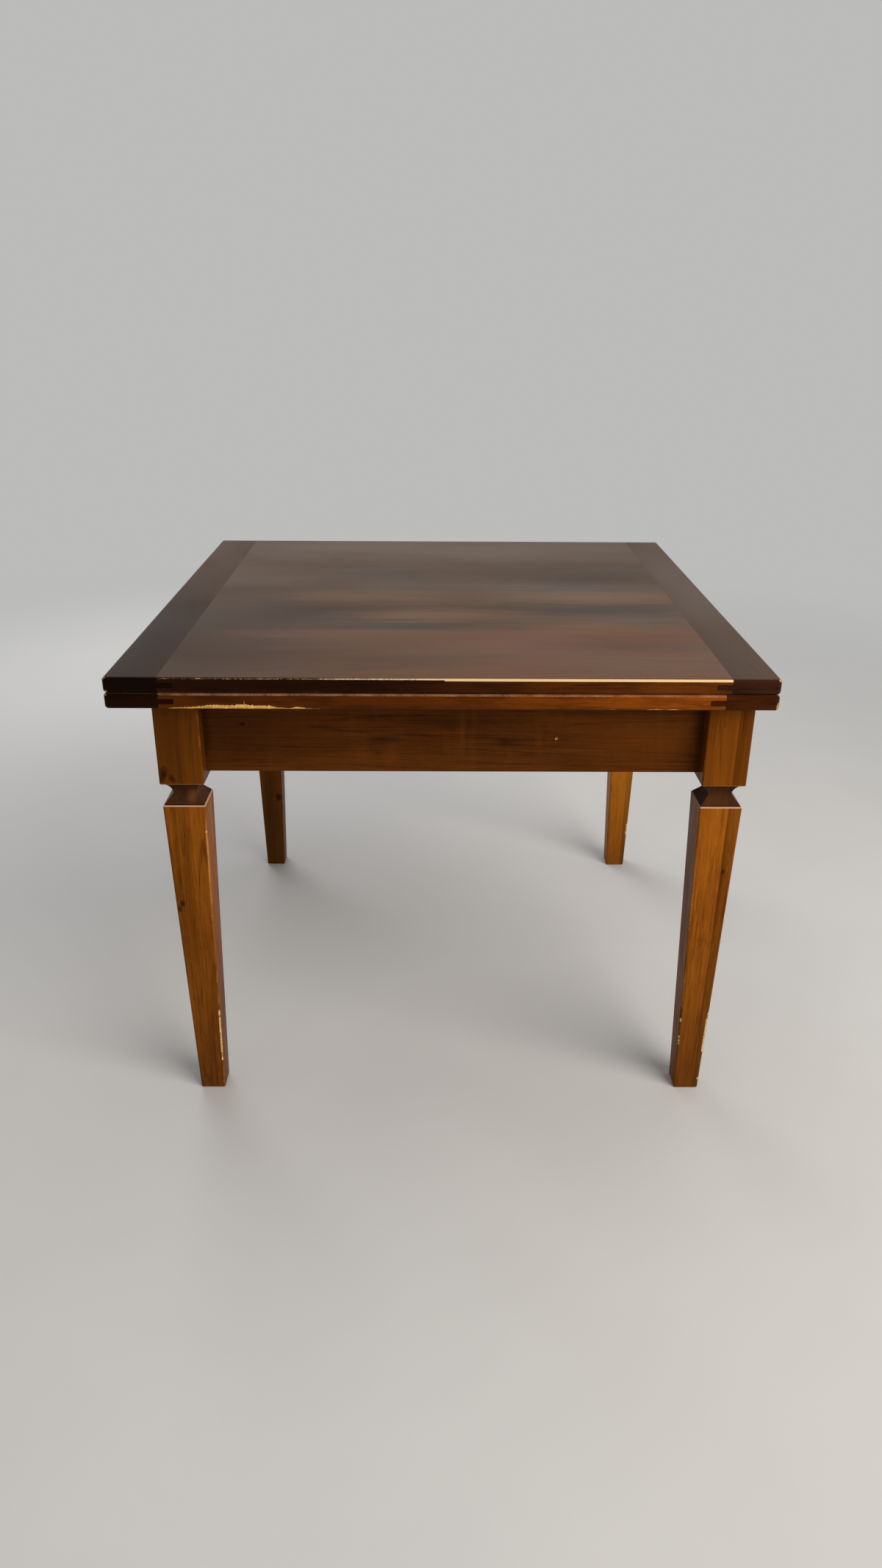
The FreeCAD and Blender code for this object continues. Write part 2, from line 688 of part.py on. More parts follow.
lower_screws = finished(hinge_screws("hinge_axis_height - hinge_screw_drop"),
                        "hinge_screws_lower")
upper_screws = finished(hinge_screws("hinge_axis_height + hinge_screw_drop"),
                        "hinge_screws_upper")
finished(joined([barrel("pin_radius", "hinge_length", middle) for name, middle in hinge_places]),
         "hinge_pins")
lower_level = "hinge_axis_height - hinge_height"
for name, middle in hinge_places:
    finished(hinge_plate(middle, lower_level, upper_knuckles, "pin_radius", lower_screws),
             "hinge_plate_lower_" + name)
    finished(hinge_plate(middle, "hinge_axis_height", lower_knuckles, "pin_radius + pin_clearance",
                         upper_screws), "hinge_plate_upper_" + name)


# Leaves: a glued-up panel, its grain along the opening, grooved at both ends for the tongues of
# the battens that keep it flat
def panel(right_batten):
    """The panel of one leaf, drawn on the leaf's own middle and underside."""
    body = document.addObject("PartDesign::Body", "Panel")
    left_end = "batten_width - top_length / 2"
    right_end = "top_length / 2 - %s" % right_batten
    plan = outline(body, "PanelPlan", "XY_Plane", rectangle(
        left_end, right_end, "-top_depth / 2", "top_depth / 2"))
    feature(body, "Pad", "PanelBoard", plan, "leaf_thickness")
    dress(body, "Fillet", "PanelArrises", "leaf_arris",
          lambda edge: runs_along(edge, 0))
    low = "(leaf_thickness - tongue_thickness) / 2"
    high = "(leaf_thickness + tongue_thickness) / 2"
    grooves = outline(
        body, "PanelGrooves", "XZ_Plane",
        rectangle("%s - overrun" % left_end,
                  "%s + tongue_length + tongue_end_gap" % left_end, low, high),
        rectangle("%s - tongue_length - tongue_end_gap" % right_end,
                  "%s + overrun" % right_end, low, high))
    feature(body, "Pocket", "PanelGrooved", grooves, "top_depth + overrun", both_ways=True)
    return body


def batten(width):
    """A batten for the right end of a leaf, drawn on the leaf's own middle and underside."""
    body = document.addObject("PartDesign::Body", "Batten")
    seam = "top_length / 2 - %s" % width
    plan = outline(body, "BattenPlan", "XY_Plane", rectangle(
        seam, "top_length / 2", "-top_depth / 2", "top_depth / 2"))
    feature(body, "Pad", "BattenBoard", plan, "leaf_thickness")
    dress(body, "Fillet", "BattenCorners", "leaf_corner",
          lambda edge: runs_along(edge, 2) and edge.BoundBox.XMin > value("%s + overrun" % seam))
    dress(body, "Fillet", "BattenArrises", "leaf_arris",
          lambda edge: not runs_along(edge, 2) and edge.BoundBox.XMax > value("%s + overrun" % seam))
    end = outline(body, "TongueEnd", "XZ_Plane", rectangle(
        "%s - tongue_length" % seam, "%s + overrun" % seam,
        "(leaf_thickness - tongue_thickness) / 2", "(leaf_thickness + tongue_thickness) / 2"))
    feature(body, "Pad", "Tongue", end, "top_depth", both_ways=True)
    return body


lower_sinkings = hinge_sinkings(lower_level, "hinge_height + overrun", lower_screws)
upper_sinkings = hinge_sinkings("hinge_axis_height - overrun", "hinge_height + overrun",
                                upper_screws)
finished(cut(stand(panel("batten_width"), "top_centre", "0", "leaf_bottom"), runner_screws),
         "lower_panel")
finished(stand(batten("batten_width"), "top_centre", "0", "leaf_bottom", BACK),
         "lower_batten_left")
finished(cut(stand(batten("batten_width"), "top_centre", "0", "leaf_bottom"), lower_sinkings),
         "lower_batten_right")
finished(stand(panel("upper_right_batten_width"), "top_centre", "0", "upper_leaf_bottom"),
         "upper_panel")
finished(stand(batten("batten_width"), "top_centre", "0", "upper_leaf_bottom", BACK),
         "upper_batten_left")
finished(cut(stand(batten("upper_right_batten_width"), "top_centre", "0", "upper_leaf_bottom"),
             upper_sinkings), "upper_batten_right")

# Felt dots that keep the two leaves apart
finished(joined([
    shank("leaf_pad_radius", "leaf_pad_thickness",
          "top_centre + %d * (top_length / 2 - leaf_pad_inset)" % way.x,
          "%d * (top_depth / 2 - leaf_pad_inset)" % way.y, "leaf_bottom + leaf_thickness", UP,
          name="Dot")
    for name, way, facing in corners]), "leaf_pads")

document.recompute()
for thing in document.Objects:
    if "Invalid" in thing.State or "Error" in thing.State:
        raise RuntimeError("%s was not made: %s" % (thing.Label, thing.State))
for thing in subparts:
    if thing.Shape.isNull() or not thing.Shape.isValid() or not thing.Shape.Solids:
        raise RuntimeError("%s has no sound solid" % thing.Label)

os.makedirs("parts", exist_ok=True)
for thing in subparts:
    thing.Shape.exportStep("parts/%s.step" % thing.Label)
    bounds = thing.Shape.BoundBox
    print("%-28s %2d solids  %9.1f cm3  %7.1f..%7.1f %7.1f..%7.1f %7.1f..%7.1f" % (
        thing.Label, len(thing.Shape.Solids), thing.Shape.Volume / 1000,
        bounds.XMin, bounds.XMax, bounds.YMin, bounds.YMax, bounds.ZMin, bounds.ZMax))
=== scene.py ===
import math
import bmesh
import bpy
from mathutils import Matrix, Vector, noise


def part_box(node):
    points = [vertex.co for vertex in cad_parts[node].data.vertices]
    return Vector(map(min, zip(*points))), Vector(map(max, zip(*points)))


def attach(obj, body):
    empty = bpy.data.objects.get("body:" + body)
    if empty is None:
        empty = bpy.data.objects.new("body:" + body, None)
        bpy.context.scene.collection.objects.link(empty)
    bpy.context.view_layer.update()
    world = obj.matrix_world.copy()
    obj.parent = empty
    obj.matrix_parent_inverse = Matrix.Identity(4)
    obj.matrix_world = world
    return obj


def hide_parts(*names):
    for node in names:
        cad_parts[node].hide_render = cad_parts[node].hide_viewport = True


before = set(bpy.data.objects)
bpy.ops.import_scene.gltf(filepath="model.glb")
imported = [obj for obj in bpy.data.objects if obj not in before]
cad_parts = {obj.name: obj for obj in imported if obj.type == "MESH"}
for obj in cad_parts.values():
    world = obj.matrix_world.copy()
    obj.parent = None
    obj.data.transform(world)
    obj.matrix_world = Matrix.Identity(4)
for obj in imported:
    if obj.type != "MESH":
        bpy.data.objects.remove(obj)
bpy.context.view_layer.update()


# The four legs. Each is square stock glued up from strips of walnut, with a block at its head for
# the aprons, a neck sawn to a pattern on all four sides, and a taper down to the foot. It is
# stained and lacquered, and its foot and the arrises of its neck have been knocked in use.
def add_node(tree, kind, sockets, **settings):
    """A new node with its settings, whose sockets take amounts or what comes out of others."""
    node = tree.nodes.new(kind)
    for name, choice in settings.items():
        setattr(node, name, choice)
    for socket, source in sockets.items():
        if isinstance(source, bpy.types.NodeSocket):
            tree.links.new(source, node.inputs[socket])
        else:
            node.inputs[socket].default_value = source
    return node


class Finish:
    """The nodes of one finish; each method adds a node and gives back what comes out of it."""

    def __init__(self, name, **shader):
        self.material = bpy.data.materials.new(name)
        self.material.use_nodes = True
        self.tree = self.material.node_tree
        self.shader = self.tree.nodes["Principled BSDF"]
        for socket, amount in shader.items():
            self.shader.inputs[socket.replace("_", " ")].default_value = amount
        self.place = self.add("ShaderNodeTexCoord", {}).outputs["Object"]
        self.axes = self.add("ShaderNodeSeparateXYZ", {0: self.place}).outputs

    def add(self, kind, sockets, **settings):
        return add_node(self.tree, kind, sockets, **settings)

    def sum(self, operation, first, second=0.0, third=0.0):
        """One step of arithmetic."""
        return self.add("ShaderNodeMath", {0: first, 1: second, 2: third},
                        operation=operation).outputs[0]

    def product(self, first, second):
        return self.sum("MULTIPLY", first, second)

    def arrow(self, operation, first, second, third=(0, 0, 0)):
        """One step of arithmetic on places, each axis for itself."""
        return self.add("ShaderNodeVectorMath", {0: first, 1: second, 2: third},
                        operation=operation).outputs[0]

    def spread(self, amount, low, high, bottom=0.0, top=1.0):
        """An amount between low and high as a soft share between bottom and top."""
        return self.add("ShaderNodeMapRange", {0: amount, 1: low, 2: high, 3: bottom, 4: top},
                        interpolation_type="SMOOTHSTEP").outputs[0]

    def along(self, axis, *ends):
        """The way along an axis as a soft share."""
        return self.spread(self.axes[axis], *ends)

    def scaled(self, scale, shift=(0, 0, 0), source=None):
        """The place on the piece, stretched and shifted."""
        return self.add("ShaderNodeMapping", {0: source or self.place, "Scale": scale,
                                              "Location": shift}).outputs[0]

    def cloud(self, scale, shift=(0, 0, 0), detail=2.0, rough=0.5, source=None):
        """Soft noise with so many clouds to a metre along each axis."""
        return self.add("ShaderNodeTexNoise", {
            "Vector": self.scaled(scale, shift, source), "Scale": 1.0, "Detail": detail,
            "Roughness": rough}).outputs[0]

    def blend(self, share, first, second, how="MIX"):
        """Two colours mixed by a share."""
        first, second = (colour if isinstance(colour, bpy.types.NodeSocket) else (*colour, 1)
                         for colour in (first, second))
        return self.add("ShaderNodeMix", {0: share, 6: first, 7: second}, data_type="RGBA",
                        blend_type=how).outputs[2]

    def length(self, away):
        return self.add("ShaderNodeVectorMath", {0: away}, operation="LENGTH").outputs["Value"]

    def shaken(self, scale, reach):
        """The place on the piece, shaken by soft noise, which makes the rims of spots ragged."""
        shake = self.add("ShaderNodeTexNoise", {"Vector": self.scaled(scale), "Scale": 1.0,
                                                "Detail": 3.0}).outputs["Color"]
        start = self.arrow("SUBTRACT", self.place, tuple(part / 2 for part in reach))
        return self.arrow("MULTIPLY_ADD", shake, reach, start)

    def patch(self, middle, reach, place=None):
        """A soft oval spot about a place, 1 in its middle and 0 from its reach on."""
        away = self.arrow("DIVIDE", self.arrow("SUBTRACT", place or self.place, middle), reach)
        return self.spread(self.length(away), 0.0, 1.0, 1.0, 0.0)

    def spotted(self, colour, spots, place=None):
        """A colour with soft spots over it: each one's middle, its reach, its share and tone."""
        for middle, reach, share, tone in spots:
            spot = self.product(self.patch(middle, reach, place), share)
            colour = self.blend(spot, colour, tone)
        return colour

    def coat(self, colour, roughness, height=None, strength=0.2, depth=0.0004):
        """Wire the colour, the roughness and the relief to the shader."""
        self.tree.links.new(colour, self.shader.inputs["Base Color"])
        self.tree.links.new(roughness, self.shader.inputs["Roughness"])
        if height is not None:
            bump = self.add("ShaderNodeBump", {"Height": height, "Strength": strength,
                                               "Distance": depth})
            self.tree.links.new(bump.outputs[0], self.shader.inputs["Normal"])
        return self.material

    def lacquered(self, colour, relief, clouds, smooth, dull, strength=0.2, detail=2.0):
        """Wire up wood whose gloss comes and goes in soft clouds between smooth and dull."""
        gloss = self.spread(self.cloud(clouds, detail=detail), 0.2, 0.8, smooth, dull)
        return self.coat(colour, gloss, relief, strength)


def stained_wood(name, along, tones, seams=(), knots=(), shift=0.0, figure=0.6, fine=1.0,
                 **shader):
    """Stained wood whose grain runs along one axis. Tones are the colours of its dark and light
    parts, seams the places along X where the strips that it is glued up from meet, and fine is
    how strongly its fibres show. Gives back the finish, the colour and the relief, so that each
    use can add its own marks."""
    finish = Finish(name, **shader)
    run = "XYZ".index(along)

    def grain(across, length):
        return [length if axis == run else across for axis in range(3)]

    place = finish.place
    if seams:
        number = 0.0
        for seam in seams:
            number = finish.sum("ADD", finish.sum("GREATER_THAN", finish.axes[0], seam), number)
        jump = finish.add("ShaderNodeCombineXYZ", {run: finish.product(number, 3.7)})
        place = finish.arrow("ADD", place, jump.outputs[0])
    offset = (shift, shift * 0.37, shift * 0.71)
    rings = finish.cloud(grain(8, 0.45), offset, 1.0, 0.5, place)
    for middle, size in knots:
        reach = [size * (5.0 if axis == run else 2.6) for axis in range(3)]
        rings = finish.sum("MULTIPLY_ADD", finish.patch(middle, reach), 0.16, rings)
    lines = finish.sum("SINE", finish.product(rings, 150.0))
    broken = finish.cloud(grain(60, 3.0), offset, 2.0, 0.5, place)
    lines = finish.product(finish.spread(lines, 0.80, 1.0), finish.spread(broken, 0.42, 0.60))
    streaks = finish.cloud(grain(210, 2.6), offset, 3.0, 0.7, place)
    fibres = finish.cloud(grain(760, 12.0), offset, 2.0, 0.7, place)
    clouds = finish.cloud(grain(13, 2.4), offset, 3.0, 0.5, place)
    mottles = finish.cloud(grain(60, 22), offset, 3.0, 0.6, place)
    pores = finish.spread(finish.cloud(grain(1100, 55.0), offset, 0.0, 0.5, place), 0.61, 0.72)
    light = finish.sum("MULTIPLY_ADD", lines, -0.26 * fine, 0.55)
    for part, weight in ((streaks, 0.95 * fine), (fibres, 0.75 * fine), (clouds, figure),
                         (mottles, 0.32 * fine + 0.03)):
        part = finish.sum("MULTIPLY_ADD", part, weight, -weight / 2)
        light = finish.sum("ADD", light, part)
    light = finish.sum("MULTIPLY_ADD", pores, -0.16 * fine, light)
    colour = finish.blend(finish.spread(light, 0.0, 1.0), *tones)
    if knots:
        hearts = 0.0
        for middle, size in knots:
            reach = [size * (2.3 if axis == run else 1.5) for axis in range(3)]
            hearts = finish.sum("MAXIMUM", finish.patch(middle, reach), hearts)
        ragged = finish.sum("MULTIPLY_ADD", finish.sum("ADD", streaks, mottles), 0.9, -0.9)
        ragged = finish.sum("ADD", hearts, finish.product(ragged, hearts))
        colour = finish.blend(finish.spread(ragged, 0.22, 0.85, 0.0, 0.85), colour,
                              tuple(part * 0.22 for part in tones[0]))
    relief = finish.sum("MULTIPLY_ADD", pores, -0.6, fibres)
    return finish, colour, relief


def show_wear(finish, colour, rubbed, raw, strength=1.0, fibres=(420, 420, 420)):
    """Lighter wood where the stain is rubbed thin, and where a mark paints a highlight on an
    arris, and raw wood, with so many fibres to a metre along each axis, where it has broken away."""
    wear_and_highlight = finish.add("ShaderNodeAttribute", {}, attribute_name="wear_and_highlight").outputs["Fac"]
    bare = finish.add("ShaderNodeAttribute", {}, attribute_name="bare").outputs["Fac"]
    grit = finish.cloud((420, 420, 420), detail=3.0, rough=0.7)
    rub = finish.sum("ADD", wear_and_highlight, finish.sum("MULTIPLY_ADD", grit, 0.8, -0.4))
    colour = finish.blend(finish.spread(rub, 0.35, 0.85, 0.0, 0.75 * strength), colour, rubbed)
    torn = finish.sum("ADD", bare, finish.sum("MULTIPLY_ADD", grit, 0.7, -0.35))
    fibre = finish.cloud(fibres, (2, 3, 5), 3.0, 0.7)
    fibre = finish.blend(finish.spread(fibre, 0.36, 0.60), tuple(0.33 * part for part in raw), raw)
    return finish.blend(finish.spread(torn, 0.35, 0.6), colour, fibre)


def leave_worn(work, most, marks=None, seed=0.0, rubbing=1.0, spared=(0.0, 0.0)):
    """Rub a piece's arrises down unevenly, and break wood away where marks says so, but not
    between the two heights of spared. Two layers tell the finish where: one for thin stain and
    for the painted highlights that marks give, the other, bare, for raw wood."""
    wear_and_highlight = work.verts.layers.float.new("wear_and_highlight")
    bare = work.verts.layers.float.new("bare")
    work.normal_update()
    moved = []
    for vertex in work.verts:
        spot, out = vertex.co.copy(), vertex.normal.copy()
        corner = min(1.0, (1 - max(abs(part) for part in out)) / 0.22)
        shaky = spot + Vector((seed, 0.0, 0.0))
        rub = 0.5 + 0.75 * noise.noise(shaky * 11) + 0.55 * noise.noise(shaky * 47)
        rub = corner * max(0.0, min(1.0, rub)) * rubbing
        if spared[0] < spot.z < spared[1]:
            rub = 0.0
        push = -out * most * rub
        if marks:
            extra, raw, shift = marks(spot, out)
            rub, push = max(rub, extra), push + shift
            vertex[bare] = raw
        vertex[wear_and_highlight] = rub
        moved.append((vertex, push))
    for vertex, push in moved:
        vertex.co += push


unmarked = 0.0, 0.0, Vector()


def chip(spot, out, middle, radius, depth):
    """A small chip with a ragged rim: how bare it leaves a place, and how far that sinks."""
    near = 1 - (spot - Vector(middle)).length / radius + 0.3 * noise.noise(spot * 420)
    if near <= 0:
        return 0.0, Vector()
    return min(1.0, near * 4), -out * depth * min(1.0, near * 2)


sharp_from = math.radians(32)


def mesh_of(work, name):
    """A bmesh's shape as a mesh; the bmesh is freed."""
    mesh = bpy.data.meshes.new(name)
    work.to_mesh(mesh)
    work.free()
    return mesh


def placed(name, data):
    """A new object in the scene."""
    thing = bpy.data.objects.new(name, data)
    bpy.context.scene.collection.objects.link(thing)
    return thing


def finished_piece(work, name, body, finish, node):
    """Make a piece of a mesh, with its body, its finish, which is a slot, not used here, and a
    material, and the CAD node that it stands for."""
    slot, material = finish
    mesh = mesh_of(work, name)
    mesh.shade_smooth()
    mesh.set_sharp_from_angle(angle=sharp_from)
    mesh.materials.append(material)
    piece = placed(name, mesh)
    flats = piece.modifiers.new("Flat faces stay flat beside rounded arrises", "WEIGHTED_NORMAL")
    flats.keep_sharp = True
    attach(piece, body)
    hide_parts(node)
    return piece


def cut_across(work, axis, places, lean=0.0):
    """Cut a mesh through at places along an axis, so that it can give way between them. A cut
    that leans goes out by that share of its height."""
    normal = Vector([1.0 if number == axis else 0.0 for number in range(3)])
    for place in places:
        bmesh.ops.bisect_plane(work, geom=work.verts[:] + work.edges[:] + work.faces[:],
                               dist=1e-7, plane_co=normal * place,
                               plane_no=normal - Vector((0, 0, lean)))


def round_off(work, arrises, radius, segments):
    """Round a mesh's edges off."""
    bmesh.ops.bevel(work, geom=arrises, offset=radius, segments=segments, profile=0.5,
                    affect="EDGES", material=-1, clamp_overlap=True)


def steps(start, end, pitch):
    """Places between two ends, about a pitch apart."""
    count = max(1, round((end - start) / pitch))
    return [start + (end - start) * number / count for number in range(1, count)]


frame_middle = 0.01635
leg_reach = 0.425
frame_top = 0.7392
shoulder = 0.5635
block_foot = 0.6005
neck_head = 0.5835
block_half, shoulder_half, foot_half = 0.035, 0.03375, 0.02125
leg_taper = (shoulder_half - foot_half) / shoulder
leg_arris = 0.0025

cove = []
for number in range(9):
    share = number / 8
    sag = 4 * share * (1 - share) * 0.0019
    cove.append((neck_head + 0.017 * share + sag * 0.577, 0.0185 + 0.012 * share - sag * 0.817))
flare = [(0.565 + 0.0155 * share, 0.0314 - 0.0129 * share - 0.0016 * share * (1 - share))
         for share in (0, 0.2, 0.4, 0.6, 0.8, 1)]
leg_profile = [(0, 0.0198), (0.0006, 0.0208), (0.0015, 0.02131), (0.5621, 0.03372),
               (0.563, 0.0333), (shoulder, 0.0325), (shoulder, 0.0314), *flare, *cove,
               (block_foot, 0.0333), (0.6009, 0.0343), (0.6016, 0.0348), (0.6025, block_half),
               (frame_top, block_half)]


def leg_mesh(middle):
    """Draw the leg up from its foot, one square on another, and round its long arrises."""
    work = bmesh.new()
    height, half = leg_profile[0]
    bmesh.ops.create_circle(
        work, cap_ends=True, segments=4, radius=half * math.sqrt(2),
        matrix=Matrix.Translation((*middle, height)) @ Matrix.Rotation(math.pi / 4, 4, "Z"))
    foot = top = next(iter(work.faces))
    for next_height, next_half in leg_profile[1:]:
        drawn = bmesh.ops.extrude_face_region(work, geom=[top])["geom"]
        if top is not foot:
            bmesh.ops.delete(work, geom=[top], context="FACES")
        top = next(part for part in drawn if isinstance(part, bmesh.types.BMFace))
        corners = list(top.verts)
        about = Matrix.Translation((-middle[0], -middle[1], 0))
        bmesh.ops.scale(work, verts=corners, space=about,
                        vec=(next_half / half, next_half / half, 1))
        bmesh.ops.translate(work, verts=corners, vec=(0, 0, next_height - height))
        height, half = next_height, next_half
    bmesh.ops.recalc_face_normals(work, faces=work.faces)
    arrises = []
    for edge in work.edges:
        low, high = sorted(corner.co.z for corner in edge.verts)
        if high - low > 1e-5 and (high < 0.5622 or low > 0.6008):
            arrises.append(edge)
    round_off(work, arrises, leg_arris, 4)
    for axis in (0, 1):
        for inset in (leg_arris + 0.001, leg_arris + 0.0035):
            cut_across(work, axis, [middle[axis] + foot_half - inset], leg_taper)
            cut_across(work, axis, [middle[axis] - foot_half + inset], -leg_taper)
    cut_across(work, 2, steps(0.0015, 0.12, 0.0025) + steps(0.12, 0.56, 0.006)
               + steps(0.603, frame_top, 0.006))
    return work


amber = (1.0, 0.70, 0.42, 1.0)
legs, leg_colour, leg_relief = stained_wood(
    "Leg walnut, stained and lacquered", "Z", ((0.070, 0.0182, 0.0018), (0.345, 0.101, 0.0068)),
    seams=(-0.424, -0.4065, 0.4205, 0.4545), shift=3.0, figure=0.9, fine=0.8,
    Specular_IOR_Level=0.05, Specular_Tint=amber,
    knots=[((-0.434, -0.46, 0.624), 0.008), ((-0.441, -0.46, 0.610), 0.006),
           ((-0.425, -0.46, 0.613), 0.005), ((-0.427, -0.452, 0.386), 0.006),
           ((-0.433, -0.452, 0.374), 0.006), ((0.4575, -0.456, 0.447), 0.004),
           ((-0.393, 0.396, 0.187), 0.008)])


def leg_band(axis, low, high, share=1.0, soft=0.0005):
    """A band across the legs along an axis, with soft sides."""
    return legs.product(legs.product(legs.along(axis, low - soft, low),
                                     legs.along(axis, high, high + soft, 1.0, 0.0)), share)


def leg_spot(middle, reach, share, place=None):
    return legs.product(legs.patch(middle, reach, place), share)


# The strips' own tones, and then tones laid over them one after another
for low, high, tone in ((-0.424, -0.4065, 0.86), (0.4205, 0.4545, 1.09), (0.4545, 0.48, 0.70)):
    leg_colour = legs.blend(leg_band(0, low, high), leg_colour, (tone, tone, tone), "MULTIPLY")
# Two of these browns are painted shade on the left legs, which stand farther from the lamp
block_brown, painted_shade_brown, painted_shade_left_brown, knot_heart = (
    (0.050, 0.0135, 0.001), (0.060, 0.017, 0.002), (0.045, 0.017, 0.003), (0.014, 0.0045, 0.001))
ragged = legs.shaken((150, 150, 60), (0.008, 0.0, 0.012))
for share, tone in (
        # A thin dark seam on the front right leg
        (leg_band(0, 0.4540, 0.4550, 0.5), (0.05, 0.016, 0.002)),
        (leg_spot((0.4575, -0.456, 0.440), (0.009, 0.03, 0.075), 0.45), (0.06, 0.018, 0.002)),
        # Darker blocks, and painted shade: the left legs, farther from the lamp, and the wood near
        # the floor are painted darker
        (leg_spot((0.44, -0.44, 0.68), (0.09, 0.06, 0.2), 0.25), block_brown),
        (leg_spot((0.44, -0.44, 0.0), (0.09, 0.06, 0.36), 0.35), (0.060, 0.020, 0.003)),
        (legs.along(2, 0.598, 0.602, 0.0, 0.50), (0.052, 0.0120, 0.001)),
        (legs.along(0, -0.1, 0.1, 0.16, 0.0), painted_shade_left_brown),
        (leg_spot((-0.41, 0.42, 0.12), (0.1, 0.1, 0.5), 0.85), painted_shade_left_brown),
        (legs.along(2, 0.0, 0.36, 0.45, 0.0), (0.055, 0.019, 0.004)),
        # A painted pool of lamp light on the back right leg
        (leg_spot((0.44, 0.39, 0.42), (0.08, 0.06, 0.5), 0.6), (0.44, 0.16, 0.014)),
        (leg_spot((-0.42, -0.45, 0.68), (0.08, 0.08, 0.14), 0.75), painted_shade_brown),
        (leg_spot((-0.378, -0.42, 0.16), (0.03, 0.08, 0.42), 0.45), painted_shade_brown),
        (leg_spot((-0.42, -0.455, 0.32), (0.05, 0.03, 0.15), 0.35), painted_shade_brown),
        # Painted shade on the front right leg's side that is turned from the lamp
        (leg_spot((0.408, -0.425, 0.3), (0.018, 0.06, 0.45), 0.7), (0.045, 0.015, 0.003)),
        (leg_spot((-0.372, -0.43, 0.67), (0.016, 0.08, 0.16), 0.6), (0.050, 0.013, 0.001)),
        # Hearts of the knots, with ragged rims
        (leg_spot((-0.436, -0.46, 0.617), (0.0085, 0.02, 0.014), 0.85, ragged), knot_heart),
        (leg_spot((-0.421, -0.46, 0.611), (0.0050, 0.02, 0.010), 0.85, ragged), knot_heart),
        (leg_spot((-0.429, -0.452, 0.382), (0.0070, 0.02, 0.010), 0.85, ragged), knot_heart),
        (leg_spot((-0.391, 0.396, 0.187), (0.0100, 0.06, 0.016), 0.85, ragged), knot_heart),
        # The neck, which took the stain darkest, all but a place at the front left
        (leg_band(2, 0.5650, 0.5995, 0.85, 0.001), (0.025, 0.0120, 0.0080)),
        (leg_spot((-0.396, -0.45, 0.577), (0.012, 0.03, 0.016), 0.6), (0.16, 0.062, 0.02)),
        # Painted shade as a dark line in its corner, the rubbed arris below it, lightened further
        # as a painted highlight, and the rubbed arris above it
        (leg_band(2, 0.5641, 0.5652), (0.006, 0.003, 0.002)),
        (leg_band(2, 0.5624, 0.5639, 0.8, 0.0002), (0.62, 0.37, 0.25)),
        (leg_band(2, 0.6004, 0.6020, 0.5), (0.42, 0.19, 0.05))):
    leg_colour = legs.blend(share, leg_colour, tone)
leg_colour = show_wear(legs, leg_colour, (0.50, 0.215, 0.05), (0.74, 0.47, 0.19))
leg_walnut = "leg_walnut", legs.lacquered(leg_colour, leg_relief, (60, 60, 9), 0.32, 0.46)

# Stretches of arris that have been knocked: the side of the leg towards +X or -X and +Y or -Y,
# the lowest and highest place, how raw it is left, and how far the stain is rubbed off it
knock_depth = 0.0011
knocked = {
    "front_left": [(1, -1, 0.055, 0.175, 1.0, 0.9), (1, -1, 0.175, 0.562, 0.1, 0.62),
                   (1, -1, 0.603, 0.739, 0.0, 0.5), (1, -1, 0.0, 0.02, 0.6, 0.6)],
    "front_right": [(1, -1, 0.075, 0.17, 0.95, 0.6), (-1, -1, 0.09, 0.165, 0.6, 0.5),
                    (1, -1, 0.004, 0.04, 0.3, 0.4), (-1, -1, 0.165, 0.5, 0.0, 0.55)],
    "back_right": [(1, -1, 0.08, 0.125, 0.7, 0.5)],
    "back_left": [(-1, 1, 0.03, 0.09, 0.6, 0.5)],
}


def knocks(corner, middle):
    """The rule by which a leg's arrises are broken."""
    def marks(spot, out):
        way_x, way_y = spot.x - middle[0], spot.y - middle[1]
        half = block_half if spot.z > shoulder else foot_half + leg_taper * spot.z
        if half - min(abs(way_x), abs(way_y)) > leg_arris + 0.0001:
            return unmarked
        raw = rubbed = 0.0
        for side_x, side_y, low, high, heavy, rub in knocked[corner]:
            if way_x * side_x < 0 or way_y * side_y < 0:
                continue
            if low < spot.z < high:
                fade = min(1.0, (spot.z - low) / 0.012, (high - spot.z) / 0.012)
                hit = noise.noise(Vector((spot.z * 75, side_x * 5, 1))) \
                    + 0.8 * noise.noise(Vector((spot.z * 310, side_y * 5, 4)))
                raw = max(raw, fade * min(1.0, max(0.0, hit + heavy - 0.45) * 2.2))
                rubbed = max(rubbed, fade * rub * (0.85 + 0.5 * noise.noise(spot * 30)))
        return rubbed, raw, -out * knock_depth * raw
    return marks


for seed, corner in enumerate(knocked):
    way_x = 1 if "right" in corner else -1
    way_y = 1 if "back" in corner else -1
    leg_middle = (frame_middle + way_x * leg_reach, way_y * leg_reach)
    leg_work = leg_mesh(leg_middle)
    leave_worn(leg_work, 0.0005, knocks(corner, leg_middle), seed=3.1 * seed, rubbing=0.72,
               spared=(0.5641, 0.6004))
    finished_piece(leg_work, "leg_of_" + corner, "base", leg_walnut, "leg_" + corner)


# The four aprons, walnut boards let into the legs with a tenon at each end. The front one shows a
# darker stain with a rippled figure, and has one small chip near its middle.
def fresh_copy(node, cuts=()):
    """A copy of a CAD piece with its loose triangles joined into whole faces, cut across at
    places along each axis."""
    work = bmesh.new()
    work.from_mesh(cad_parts[node].data)
    bmesh.ops.remove_doubles(work, verts=work.verts, dist=1e-6)
    bmesh.ops.dissolve_limit(work, angle_limit=0.003, verts=work.verts, edges=work.edges)
    for axis, places in cuts:
        cut_across(work, axis, places)
    return work


def walnut_piece(node, name, body, finish, cuts, most, seed, rubbing, marks=None):
    """A CAD piece worn as walnut wears."""
    work = fresh_copy(node, cuts)
    leave_worn(work, most, marks, seed, rubbing)
    finished_piece(work, name, body, finish, node)


